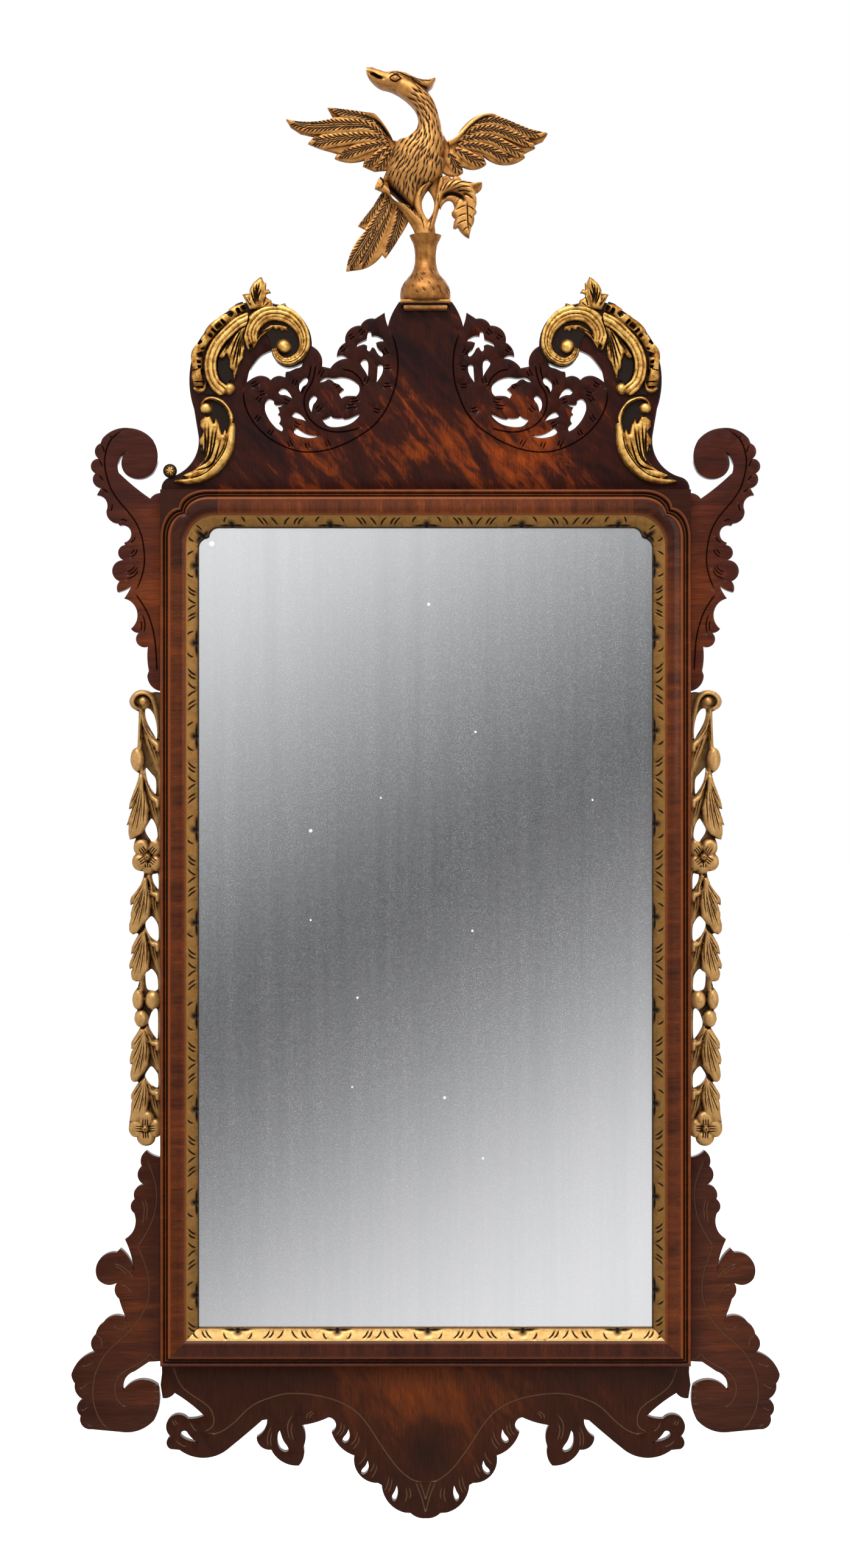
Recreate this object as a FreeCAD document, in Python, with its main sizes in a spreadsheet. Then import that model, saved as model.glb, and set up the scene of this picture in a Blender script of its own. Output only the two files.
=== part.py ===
import FreeCAD, Part
import math
import os

# Parcel-gilt mahogany wall mirror: a pine carcass faced with moulding, a gilt slip round the plate,
# fretted crest, ears and apron, carved gilt garlands and scrolls, and a phoenix finial on a vase.
# +X is to the right, +Z up and +Y towards the wall. The origin is the middle of the backboard's back.

SIZES = [
    ("frame_width", 498.0, "outside width of the moulded frame"),
    ("frame_height", 823.2, "outside height of the moulded frame"),
    ("backing_depth", 6.0, "layer behind the carcass: backboard, battens and hangers"),
    ("carcass_depth", 18.0, "front to back size of the pine carcass"),
    ("member_width", 30.0, "face width of the carcass stiles and rails"),
    ("tenon_length", 18.0, "length of the rail tenons"),
    ("tenon_thickness", 6.0, "front to back size of the rail tenons"),
    ("tenon_shoulder", 5.0, "shoulder above and below each tenon"),
    ("moulding_width", 24.5, "face width of the mahogany moulding"),
    ("bead_width", 3.5, "bead along the moulding's outer edge"),
    ("groove_width", 3.5, "dark groove beside the bead"),
    ("bead_rise", 8.0, "top of the bead above the carcass"),
    ("groove_rise", 4.0, "floor of the groove above the carcass"),
    ("face_rise", 6.0, "outer edge of the ogee face above the carcass"),
    ("crown_rise", 12.0, "crown of the ogee face above the carcass"),
    ("inner_rise", 9.5, "inner edge of the moulding above the carcass"),
    ("spandrel_rise", 5.0, "flat corner field outside the lobed bead"),
    ("outer_lobe", 16.5, "radius of the corner lobes along the bead"),
    ("middle_lobe", 12.0, "radius of the corner lobes where the slip begins"),
    ("sight_lobe", 9.0, "radius of the corner lobes along the sight edge"),
    ("slip_width", 11.5, "face width of the carved gilt slip"),
    ("slip_rise", 8.5, "outer edge of the slip above the carcass"),
    ("sight_rise", 3.0, "sight edge of the slip above the carcass"),
    ("plate_thickness", 3.5, "mirror plate"),
    ("plate_play", 1.0, "room round the edge of the plate"),
    ("plate_block_length", 40.0, "blocks that hold the plate from behind"),
    ("plate_block_width", 10.0, "how far those blocks reach over the plate"),
    ("backboard_lap", 9.0, "how far the backboard laps onto the carcass"),
    ("nail_diameter", 2.0, "nails through the backboard"),
    ("nail_length", 15.0, "nails through the backboard"),
    ("board_thickness", 10.0, "crest, ears and apron"),
    ("batten_width", 20.0, "battens behind the crest"),
    ("batten_lap", 20.0, "how far a batten laps onto the carcass"),
    ("side_batten_rise", 108.0, "side battens above the top of the frame"),
    ("centre_batten_rise", 150.0, "centre batten above the top of the frame"),
    ("apron_batten_drop", 26.0, "apron battens below the bottom of the frame"),
    ("ear_batten_reach", 13.0, "ear battens beyond the side of the frame"),
    ("ear_batten_length", 70.0, "ear battens along the side of the frame"),
    ("upper_batten_drop", 40.0, "upper ear battens below the top of the frame"),
    ("lower_batten_rise", 85.0, "lower ear battens above the bottom of the frame"),
    ("scroll_rise", 8.0, "gilt scrolls in front of the crest"),
    ("garland_back", 8.0, "back of the garlands from the wall"),
    ("garland_depth", 12.0, "front to back size of the garlands"),
    ("cap_height", 8.4, "moulded cap in front of the crest's neck"),
    ("cap_width", 48.0, "moulded cap in front of the crest's neck"),
    ("cap_depth", 12.0, "moulded cap in front of the crest's neck"),
    ("vase_radius", 24.0, "belly of the vase"),
    ("vase_waist", 9.5, "neck of the vase"),
    ("vase_lip", 15.5, "rim of the vase"),
    ("vase_height", 63.0, "vase from foot to rim"),
    ("dowel_diameter", 6.0, "dowel between the crest and the vase"),
    ("dowel_length", 50.0, "dowel between the crest and the vase"),
    ("finial_back", 2.0, "flat back of the finial from the wall"),
    ("tail_depth", 6.0, "phoenix's tail plume, front to back"),
    ("branch_depth", 10.0, "branches and leaf under the phoenix, front to back"),
    ("wing_depth", 9.0, "phoenix's wings, front to back"),
    ("hanger_height", 150.0, "hinge of the ring hangers above the middle of the frame"),
    ("hanger_inset", 10.5, "middle of the ring hangers from the side of the frame"),
    ("strap_width", 12.0, "hanger strap"),
    ("strap_length", 38.0, "hanger strap"),
    ("strap_thickness", 1.2, "hanger strap"),
    ("ring_wire", 2.4, "wire of the hanger ring"),
    ("ring_leg", 6.0, "straight leg of the hanger ring"),
    ("ring_bow", 5.0, "bow radius of the hanger ring, to the middle of the wire"),
    ("ring_gap", 0.4, "room between the folded ring and its strap"),
    ("hinge_clearance", 0.05, "room all round the ring's leg in its knuckle"),
    ("knuckle_wall", 1.0, "wall of the hanger's knuckle"),
    ("knuckle_play", 0.5, "room at each end of the knuckle"),
    ("screw_diameter", 2.5, "hanger screws"),
    ("screw_length", 12.0, "hanger screws under the head"),
    ("screw_head", 5.0, "head diameter of the hanger screws"),
    ("screw_head_height", 1.5, "head height of the hanger screws"),
    ("screw_pitch", 11.0, "from one hanger screw to the next"),
]

doc = FreeCAD.newDocument("WallMirror")
sheet = doc.addObject("Spreadsheet::Sheet", "Sizes")
for row, (alias, value, note) in enumerate(SIZES, start=1):
    sheet.set(f"A{row}", note)
    sheet.set(f"B{row}", str(value))
    sheet.setAlias(f"B{row}", alias)
doc.recompute()


def size(alias):
    return float(getattr(sheet, alias))


half_width = size("frame_width") / 2
half_height = size("frame_height") / 2
moulding_width = size("moulding_width")
sight_inset = moulding_width + size("slip_width")
corner_size = sight_inset + 2 * size("sight_lobe")
HANDS = (("left", -1), ("right", 1))

# Formulas over the sheet that several sub-parts share.
HALF_WIDTH = "Sizes.frame_width / 2"
HALF_HEIGHT = "Sizes.frame_height / 2"
INNER_WIDTH = "(Sizes.frame_width / 2 - Sizes.member_width)"
INNER_HEIGHT = "(Sizes.frame_height / 2 - Sizes.member_width)"
CARCASS_FRONT = "(Sizes.backing_depth + Sizes.carcass_depth)"
BOARD_FRONT = "(Sizes.backing_depth + Sizes.board_thickness)"
CORNER_SIZE = "(Sizes.moulding_width + Sizes.slip_width + 2 * Sizes.sight_lobe)"
BACKBOARD_WIDTH = "(Sizes.frame_width / 2 - Sizes.member_width + Sizes.backboard_lap)"
BACKBOARD_HEIGHT = "(Sizes.frame_height / 2 - Sizes.member_width + Sizes.backboard_lap)"


# Building blocks

def span(low, high):
    """Start and length formulas of the stretch from low to high."""
    return low, f"({high}) - ({low})"


def beside(side, near, far):
    """The stretch from near to far, measured from the middle towards one side."""
    if side > 0:
        return span(near, far)
    return span(f"-({far})", f"-({near})")


def depth(near, far):
    """The stretch from near to far, measured from the wall towards the front."""
    return span(f"-({far})", f"-({near})")


def box(name, across, front_to_back, upright):
    """A block whose corner and lengths follow formulas."""
    block = doc.addObject("Part::Box", name)
    stretches = (across, front_to_back, upright)
    for axis, length, (start, extent) in zip("xyz", ("Length", "Width", "Height"), stretches):
        block.setExpression(f"Placement.Base.{axis}", start)
        block.setExpression(length, extent)
    return block


def rod(name, diameter, length, place, turn=FreeCAD.Rotation()):
    """A cylinder from place along its turned Z axis."""
    cylinder = doc.addObject("Part::Cylinder", name)
    cylinder.setExpression("Radius", f"({diameter}) / 2")
    cylinder.setExpression("Height", length)
    cylinder.Placement = FreeCAD.Placement(FreeCAD.Vector(), turn)
    for axis, formula in zip("xyz", place):
        cylinder.setExpression(f"Placement.Base.{axis}", formula)
    return cylinder


def fused(name, pieces):
    union = doc.addObject("Part::MultiFuse", name)
    union.Shapes = pieces
    return union


def cut(name, base, tools):
    """The base with every tool taken out of it."""
    for number, tool in enumerate(tools):
        last = number == len(tools) - 1
        trimmed = doc.addObject("Part::Cut", name if last else f"{name}_step{number}")
        trimmed.Base = base
        trimmed.Tool = tool
        base = trimmed
    return base


def group(name, pieces):
    """Separate solids that share one node."""
    together = doc.addObject("Part::Compound", name)
    together.Links = pieces
    return together


def edges(outline):
    """Edges of a closed outline: a pair is the end of a line, four numbers an arc's middle and end."""
    start = FreeCAD.Vector(*outline[0], 0)
    here = start
    result = []
    for step in list(outline[1:]) + [outline[0]]:
        end = FreeCAD.Vector(step[-2], step[-1], 0)
        if len(step) == 4:
            result.append(Part.Arc(here, FreeCAD.Vector(step[0], step[1], 0), end))
        elif here.distanceToPoint(end) > 1e-6:
            result.append(Part.LineSegment(here, end))
        here = end
    return result


def placed(outline, place):
    """The outline with every point moved by place(x, z)."""
    moved = []
    for step in outline:
        pairs = [place(step[i], step[i + 1]) for i in range(0, len(step), 2)]
        moved.append(tuple(number for pair in pairs for number in pair))
    return moved


def sketch_on(body, role, outlines, offset):
    """A sketch of closed outlines on one of the body's own planes, moved along its normal."""
    sketch = body.newObject("Sketcher::SketchObject", f"{body.Name}_sketch")
    plane = next(item for item in body.Origin.OriginFeatures if item.Role == role)
    sketch.AttachmentSupport = (plane, [""])
    sketch.MapMode = "FlatFace"
    sketch.setExpression("AttachmentOffset.Base.z", offset)
    for outline in outlines:
        sketch.addGeometry(edges(outline), False)
    return sketch


def padded(name, role, outlines, offset, length):
    """A body padded from closed outlines, which start at offset along the plane's normal."""
    body = doc.addObject("PartDesign::Body", name)
    pad = body.newObject("PartDesign::Pad", f"{name}_pad")
    pad.Profile = sketch_on(body, role, outlines, offset)
    pad.setExpression("Length", length)
    body.Tip = pad
    return body


def board(name, outlines, back, thickness):
    """A flat piece parallel to the wall, from its back face towards the front."""
    return padded(name, "XZ_Plane", outlines, back, thickness)


# Pine carcass: stiles with mortises, rails with tenons

def tenon(name, side, end):
    """The tenon at one side of the top (end 1) or bottom (end -1) rail, or the mortise for it."""
    middle = "(Sizes.backing_depth + Sizes.carcass_depth / 2)"
    half = "Sizes.tenon_thickness / 2"
    across = beside(side, INNER_WIDTH, f"{INNER_WIDTH} + Sizes.tenon_length")
    low = f"{INNER_HEIGHT} + Sizes.tenon_shoulder"
    high = f"{HALF_HEIGHT} - Sizes.tenon_shoulder"
    return box(name, across, depth(f"{middle} - {half}", f"{middle} + {half}"), beside(end, low, high))


def backboard_nails():
    """Nails at even steps along the four edges of the backboard."""
    upright_nails = 5
    level_nails = 3
    edge_x = f"({INNER_WIDTH} + Sizes.backboard_lap / 2)"
    edge_z = f"({INNER_HEIGHT} + Sizes.backboard_lap / 2)"
    places = []
    for sign in (-1, 1):
        for number in range(upright_nails):
            share = 2 * number / (upright_nails - 1) - 1
            places.append((f"{sign} * {edge_x}", f"{0.95 * share} * {edge_z}"))
        for number in range(level_nails):
            share = 2 * (number + 1) / (level_nails + 1) - 1
            places.append((f"{share} * {edge_x}", f"{sign} * {edge_z}"))
    to_front = FreeCAD.Rotation(FreeCAD.Vector(1, 0, 0), 90)
    nails = []
    for number, (x, z) in enumerate(places):
        place = (x, "0", z)
        nails.append(rod(f"nail{number}", "Sizes.nail_diameter", "Sizes.nail_length", place, to_front))
    return group("backboard_nails", nails)


def hanger(hand, side):
    """A screwed strap with a knuckle at its top, and the ring that swings in it."""
    middle = f"{side} * ({HALF_WIDTH} - Sizes.hanger_inset)"
    back = "Sizes.backing_depth"
    hinge = f"(-{back} + Sizes.strap_thickness + Sizes.ring_gap + Sizes.ring_wire / 2)"
    bore = "(Sizes.ring_wire + 2 * Sizes.hinge_clearance)"
    barrel_length = "(Sizes.ring_leg - 2 * Sizes.knuckle_play)"
    along_x = FreeCAD.Rotation(FreeCAD.Vector(0, 1, 0), 90)
    to_front = FreeCAD.Rotation(FreeCAD.Vector(1, 0, 0), 90)
    barrel_start = (f"{middle} - {barrel_length} / 2", hinge, "Sizes.hanger_height")
    barrel = rod(f"barrel_{hand}", f"{bore} + 2 * Sizes.knuckle_wall", barrel_length, barrel_start, along_x)
    strap_across = (f"{middle} - Sizes.strap_width / 2", "Sizes.strap_width")
    strap_layer = (f"-{back}", "Sizes.strap_thickness")
    strap_top = "Sizes.hanger_height - Sizes.ring_wire / 2 - Sizes.hinge_clearance"
    strap_upright = span("Sizes.hanger_height - Sizes.strap_length", strap_top)
    strap = box(f"strap_{hand}", strap_across, strap_layer, strap_upright)
    neck = box(f"neck_{hand}", (barrel_start[0], barrel_length), strap_layer,
               span("Sizes.hanger_height - Sizes.ring_wire", "Sizes.hanger_height"))
    bore_rod = rod(f"bore_{hand}", bore, barrel_length, barrel_start, along_x)
    screws = []
    for number in range(2):
        drop = f"Sizes.strap_length - Sizes.screw_head - {number} * Sizes.screw_pitch"
        z = f"Sizes.hanger_height - ({drop})"
        head_top = f"-{back} + Sizes.strap_thickness + Sizes.screw_head_height"
        place = (middle, head_top, z)
        length = "Sizes.screw_length + Sizes.screw_head_height"
        shank = rod(f"shank_{hand}{number}", "Sizes.screw_diameter", length, place, to_front)
        head = rod(f"head_{hand}{number}", "Sizes.screw_head", "Sizes.screw_head_height", place, to_front)
        screws.append(fused(f"screw_{hand}{number}", [shank, head]))
    blank = fused(f"hanger_blank_{hand}", [strap, neck, barrel])
    cut(f"hanger_strap_{hand}", blank, [bore_rod] + screws)
    ring(hand, middle, hinge)
    return screws


def ring(hand, middle, hinge):
    """A long ring of round wire that hangs down from its hinge."""
    legs = []
    for name, drop in (("upper", "0"), ("lower", "2 * Sizes.ring_bow")):
        start = (f"{middle} - Sizes.ring_leg / 2", hinge, f"Sizes.hanger_height - {drop}")
        along_x = FreeCAD.Rotation(FreeCAD.Vector(0, 1, 0), 90)
        legs.append(rod(f"ring_leg_{name}_{hand}", "Sizes.ring_wire", "Sizes.ring_leg", start, along_x))
    for name, sign, turn in (("right", 1, 0), ("left", -1, 180)):
        bow = doc.addObject("Part::Torus", f"ring_bow_{name}_{hand}")
        bow.setExpression("Radius1", "Sizes.ring_bow")
        bow.setExpression("Radius2", "Sizes.ring_wire / 2")
        bow.Angle3 = 180
        upright = FreeCAD.Rotation(FreeCAD.Vector(1, 0, 0), 90)
        quarter = FreeCAD.Rotation(FreeCAD.Vector(0, 0, 1), turn - 90)
        bow.Placement = FreeCAD.Placement(FreeCAD.Vector(), upright.multiply(quarter))
        place = (f"{middle} + {sign} * Sizes.ring_leg / 2", hinge, "Sizes.hanger_height - Sizes.ring_bow")
        for axis, formula in zip("xyz", place):
            bow.setExpression(f"Placement.Base.{axis}", formula)
        legs.append(bow)
    fused(f"hanger_ring_{hand}", legs)


def carcass(nails, screws):
    """Stiles and rails, drilled for the nails and screws that go into them."""
    whole_depth = depth("Sizes.backing_depth", CARCASS_FRONT)
    for hand, side in HANDS:
        stile = box(f"stile_{hand}", beside(side, INNER_WIDTH, HALF_WIDTH), whole_depth,
                    span(f"-{HALF_HEIGHT}", HALF_HEIGHT))
        mortises = [tenon(f"mortise_{hand}{end}", side, end) for end in (-1, 1)]
        cut(f"carcass_stile_{hand}", stile, mortises + [nails] + screws)
    for name, end in (("bottom", -1), ("top", 1)):
        rail = box(f"rail_{name}", span(f"-{INNER_WIDTH}", INNER_WIDTH), whole_depth,
                   beside(end, INNER_HEIGHT, HALF_HEIGHT))
        tenons = [tenon(f"tenon_{name}_{hand}", side, end) for hand, side in HANDS]
        cut(f"carcass_rail_{name}", fused(f"tenoned_{name}", [rail] + tenons), [nails])


def backboard(nails):
    across = span(f"-{BACKBOARD_WIDTH}", BACKBOARD_WIDTH)
    upright = span(f"-{BACKBOARD_HEIGHT}", BACKBOARD_HEIGHT)
    panel = box("backboard_panel", across, depth("0", "Sizes.backing_depth"), upright)
    cut("backboard", panel, [nails])


# Moulding, slip and plate

def moulding_profile():
    """Bead, groove and ogee face, as distance in from the outer edge and rise from the carcass."""
    bead = size("bead_width")
    field = bead + size("groove_width")
    shoulder = size("bead_rise") - bead / 2
    crown = field + 0.55 * (moulding_width - field)
    return [
        (0, 0),
        (0, shoulder),
        (bead / 2, size("bead_rise"), bead, shoulder),
        (bead, size("groove_rise")),
        (field, size("groove_rise")),
        (field, size("face_rise")),
        (crown, size("crown_rise"), moulding_width, size("inner_rise")),
        (moulding_width, 0),
    ]


def slip_profile():
    """The slip falls in a shallow hollow from the moulding to the sight edge."""
    middle = (moulding_width + sight_inset) / 2
    hollow = 0.45 * (size("slip_rise") + size("sight_rise"))
    return [
        (moulding_width, 0),
        (moulding_width, size("slip_rise")),
        (middle, hollow, sight_inset, size("sight_rise")),
        (sight_inset, 0),
    ]


def mitre_wedge(name, side, along_bottom):
    """What a bottom corner's mitre takes off the upright piece, or off the level piece."""
    reach = 2 * sight_inset
    corner = (side * half_width, -half_height)
    inner = (side * (half_width - reach), reach - half_height)
    third = (corner[0], inner[1]) if along_bottom else (inner[0], corner[1])
    return board(name, [[corner, inner, third]], CARCASS_FRONT, "2 * Sizes.crown_rise")


def upright_strip(name, side, profile):
    """A strip up one side of the frame, from its mitre to the lobed corner."""
    front = size("backing_depth") + size("carcass_depth")
    section = placed(profile, lambda inset, rise: (side * (half_width - inset), -front - rise))
    length = f"Sizes.frame_height - {CORNER_SIZE}"
    strip = padded(f"{name}_blank", "XY_Plane", [section], f"-{HALF_HEIGHT}", length)
    cut(name, strip, [mitre_wedge(f"{name}_mitre", side, False)])


def level_section(profile, end):
    front = size("backing_depth") + size("carcass_depth")
    return placed(profile, lambda inset, rise: (-front - rise, end * (half_height - inset)))


def bottom_strip(name, profile):
    """A strip along the bottom of the frame, mitred at both ends."""
    section = level_section(profile, -1)
    strip = padded(f"{name}_blank", "YZ_Plane", [section], f"-{HALF_WIDTH}", "Sizes.frame_width")
    cut(name, strip, [mitre_wedge(f"{name}_mitre_{hand}", side, True) for hand, side in HANDS])


def lobed_corner(side, inset, radius):
    """Two quarter arcs with a cusp between them, from the upright line to the level line."""
    right = half_width - inset
    top = half_height - inset
    reach = radius * math.sqrt(0.5)
    corner = [
        (right, top - 2 * radius),
        (right - radius + reach, top - 2 * radius + reach, right - radius, top - radius),
        (right - 2 * radius + reach, top - radius + reach, right - 2 * radius, top),
    ]
    return placed(corner, lambda x, z: (side * x, z))


def reversed_outline(steps):
    """The same chain of lines and arcs, walked from its other end."""
    ends = [step[-2:] for step in steps]
    back = [ends[-1]]
    for number in range(len(steps) - 1, 0, -1):
        middle = steps[number][:2] if len(steps[number]) == 4 else ()
        back.append(middle + ends[number - 1])
    return back


def corner_block(hand, side):
    """A flat corner field with the moulding's lobed band standing on it."""
    joint_x = side * (half_width - corner_size)
    joint_z = half_height - corner_size
    slip_edge = lobed_corner(side, moulding_width, size("middle_lobe"))
    inner_line = [(joint_x, half_height - moulding_width)] + reversed_outline(slip_edge)
    inner_line.append((side * (half_width - moulding_width), joint_z))
    outer = side * half_width
    field_outline = [(outer, joint_z), (outer, half_height), (joint_x, half_height)] + inner_line
    band_outline = [(outer, joint_z)] + lobed_corner(side, 0, size("outer_lobe"))
    band_outline += [(joint_x, half_height)] + inner_line
    field = board(f"corner_field_{hand}", [field_outline], CARCASS_FRONT, "Sizes.spandrel_rise")
    band_rise = "(Sizes.crown_rise + Sizes.inner_rise) / 2"
    band = board(f"corner_band_{hand}", [band_outline], CARCASS_FRONT, band_rise)
    fused(f"corner_block_{hand}", [field, band])


def slip_top():
    """The top slip turns both lobed corners and ends on the side slips."""
    leg_end = half_height - corner_size
    outer = [(half_width - moulding_width, leg_end)] + lobed_corner(1, moulding_width, size("middle_lobe"))
    inner = [(half_width - sight_inset, leg_end)] + lobed_corner(1, sight_inset, size("sight_lobe"))

    def mirrored(steps):
        return placed(steps, lambda x, z: (-x, z))

    outline = outer + reversed_outline(mirrored(outer)) + mirrored(inner) + reversed_outline(inner)
    board("slip_top", [outline], CARCASS_FRONT, "(Sizes.slip_rise + Sizes.sight_rise) / 2")


def mouldings():
    for hand, side in HANDS:
        upright_strip(f"moulding_{hand}", side, moulding_profile())
        upright_strip(f"slip_{hand}", side, slip_profile())
        corner_block(hand, side)
    bottom_strip("moulding_bottom", moulding_profile())
    bottom_strip("slip_bottom", slip_profile())
    slip_top()
    top_section = level_section(moulding_profile(), 1)
    top_length = f"Sizes.frame_width - 2 * {CORNER_SIZE}"
    padded("moulding_top", "YZ_Plane", [top_section], f"{CORNER_SIZE} - {HALF_WIDTH}", top_length)


def plate_and_blocks():
    """The plate lies against the slip's back, held by blocks glued to the carcass."""
    plate_back = f"({CARCASS_FRONT} - Sizes.plate_thickness)"
    plate_x = f"({INNER_WIDTH} - Sizes.plate_play)"
    plate_z = f"({INNER_HEIGHT} - Sizes.plate_play)"
    plate_layer = depth(plate_back, CARCASS_FRONT)
    box("mirror_plate", span(f"-{plate_x}", plate_x), plate_layer, span(f"-{plate_z}", plate_z))
    reach = depth("Sizes.backing_depth", plate_back)
    half = "Sizes.plate_block_length / 2"
    blocks = []
    for hand, side in HANDS:
        across = beside(side, f"{INNER_WIDTH} - Sizes.plate_block_width", INNER_WIDTH)
        for number, share in enumerate((-0.6, 0, 0.6)):
            middle = f"{share} * {INNER_HEIGHT}"
            upright = span(f"{middle} - {half}", f"{middle} + {half}")
            blocks.append(box(f"side_block_{hand}{number}", across, reach, upright))
    for end in (-1, 1):
        upright = beside(end, f"{INNER_HEIGHT} - Sizes.plate_block_width", INNER_HEIGHT)
        blocks.append(box(f"level_block{end}", span(f"-{half}", half), reach, upright))
    group("plate_blocks", blocks)


# Battens behind the fretted boards

def battens():
    behind = depth("0", "Sizes.backing_depth")
    top = span(f"{HALF_HEIGHT} - Sizes.batten_lap", f"{HALF_HEIGHT} + Sizes.side_batten_rise")
    for hand, side in HANDS:
        edge = f"({HALF_WIDTH} * 0.835)"
        box(f"crest_batten_{hand}", beside(side, f"{edge} - Sizes.batten_width", edge), behind, top)
    tall = span(f"{HALF_HEIGHT} - Sizes.batten_lap", f"{HALF_HEIGHT} + Sizes.centre_batten_rise")
    box("crest_batten_centre", span("-Sizes.batten_width", "Sizes.batten_width"), behind, tall)
    low = span(f"-{HALF_HEIGHT} - Sizes.apron_batten_drop", f"Sizes.batten_lap - {HALF_HEIGHT}")
    apron_battens = []
    for number, share in enumerate((-0.72, 0, 0.72)):
        middle = f"{share} * {HALF_WIDTH}"
        across = span(f"{middle} - Sizes.batten_width", f"{middle} + Sizes.batten_width")
        apron_battens.append(box(f"apron_batten{number}", across, behind, low))
    group("apron_battens", apron_battens)
    ear_battens = []
    for hand, side in HANDS:
        inner_edge = f"{BACKBOARD_WIDTH} + Sizes.plate_play"
        across = beside(side, inner_edge, f"{HALF_WIDTH} + Sizes.ear_batten_reach")
        for end, drop in ((1, "Sizes.upper_batten_drop"), (-1, "Sizes.lower_batten_rise")):
            start = f"{HALF_HEIGHT} - {drop} - Sizes.ear_batten_length"
            upright = beside(end, start, f"{start} + Sizes.ear_batten_length")
            ear_battens.append(box(f"ear_batten_{hand}{end}", across, behind, upright))
    group("ear_battens", ear_battens)


# Fretted boards: outlines of the right half, in millimetres from the middle of the drawn frame

UPPER_EAR = [
    (249, 409.6),
    (255, 408.4, 259.6, 404.3),
    (274, 415, 289.1, 428.5),
    (289.6, 439.5, 281.8, 449.1),
    (286.9, 438.8, 282.8, 427.4),
    (271, 422.9, 257, 429.3),
    (252.5, 444, 257, 459.4),
    (267, 467.6, 279.1, 470.9),
    (294, 469, 304.9, 460.9),
    (306.6, 456.5),
    (311.9, 447.6, 308.5, 442),
    (315.7, 433.7, 311.5, 428.2),
    (313.8, 421, 306.3, 414.3),
    (310, 407.6),
    (302, 403.4, 300.9, 393.2),
    (297.5, 383.7, 290.1, 381),
    (288.7, 378.8),
    (277.8, 372.6, 284.3, 362.8),
    (283.5, 360.6),
    (290, 353, 282.8, 345.9),
    (295.6, 336.4, 288.7, 326.3),
    (291.2, 320.5, 290.4, 316),
    (284, 318, 277.2, 322.6),
    (279.9, 316.8, 284.3, 310.1),
    (272, 297, 277.9, 281.5),
    (274.7, 278.5, 270.3, 277.8),
    (271.5, 267, 261.9, 265),
    (262.5, 255, 261, 241.8),
    (262.5, 237.4),
    (258.8, 227.6, 249, 222.4),
]

LOWER_EAR = [
    (249, -217.3),
    (256.5, -215.6, 263.3, -211),
    (268.2, -217, 267.8, -225.5),
    (271.4, -231, 265, -243.2),
    (273, -246.4, 274.4, -256.8),
    (278, -261.6, 274.9, -270),
    (274, -281.5, 283.6, -294.7),
    (278.2, -308.7, 275.4, -324.4),
    (279.4, -313, 288.1, -303.4),
    (291.4, -307.1),
    (306.5, -312.4, 309.5, -331.8),
    (302, -337.3, 291.4, -335.9),
    (293, -345, 289.2, -350.7),
    (287, -358, 282.6, -368.8),
    (294, -366.6, 304.5, -373.8),
    (309, -378, 311.1, -384.5),
    (315.6, -391.5, 311.9, -400.9),
    (326, -408.4, 334.2, -422),
    (332.6, -428, 330.9, -430.6),
    (329.6, -439.5, 323.5, -445.4),
    (328.8, -452.5, 325.4, -461.1),
    (323.4, -471, 315.2, -473.9),
    (287.2, -476.5),
    (267, -473.6, 255.9, -465.2),
    (251, -450, 252.6, -432.2),
    (270.5, -427.4, 285.1, -437.2),
    (283.6, -427, 274.1, -419.1),
    (260.9, -410.3),
    (249, -409.6),
]

APRON = [
    (0, -411.6),
    (249, -411.6),
    (248.6, -420.3),
    (250, -431.9),
    (248, -444.6),
    (241.6, -443.8, 236.6, -439.7),
    (222, -449.6, 209, -461),
    (217, -463.6, 224.4, -463.9),
    (243.2, -465.6, 240.5, -480.7),
    (244.4, -487, 240.5, -492.6),
    (232.1, -493.4),
    (207.6, -500.9, 187.7, -493.7),
    (171, -480, 154.1, -465.4),
    (149.5, -464.6),
    (152, -474.5, 159.4, -481.5),
    (156.6, -489, 145.6, -493.2),
    (136, -504, 119.6, -508.2),
    (115.2, -501, 115.1, -490.6),
    (113.2, -480, 116.6, -470),
    (102.1, -466.9, 91.4, -462.7),
    (84.8, -468, 88.6, -476.9),
    (81, -490, 67.2, -498.6),
    (63, -516, 44.7, -524.6),
    (41.3, -526.6),
    (36.4, -541, 19.5, -552.6),
    (14.1, -552.9),
    (7.5, -557, 0, -557.9),
]

# Teardrop piercings of the apron: tip, round end and its radius
APRON_DROPS = [
    ((209.9, -486.1), (226, -478.4), 2.6),
    ((133.4, -475.4), (128.8, -492.9), 4.5),
    ((69.5, -474.6), (72.2, -484.5), 2.4),
    ((51.9, -503.6), (54.6, -514.4), 2.4),
    ((24.8, -527.4), (27.1, -539.6), 2.4),
]

CREST = [
    (0, 411.6),
    (249, 411.6),
    (247.6, 419.4, 241.2, 424.5),
    (222, 436.5, 214, 462.8),
    (218.3, 488.8),
    (222.8, 519, 214.9, 551.5),
    (198, 572.4, 170.9, 588.9),
    (156, 590.6, 141.8, 587.9),
    (118, 576, 107, 548.1),
    (99.8, 541.6, 97.5, 529),
    (89.8, 527.3),
    (82.6, 534.2, 73.8, 536.5),
    (77, 539, 83.7, 538.5),
    (81, 547, 75.7, 551.5),
    (72.6, 563, 61.1, 567.5),
    (55.4, 573.4, 47.8, 574),
    (38.6, 579.8),
    (37.4, 572.6, 35.5, 566.8),
    (31.4, 579, 24.8, 590),
    (0, 590),
]

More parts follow.
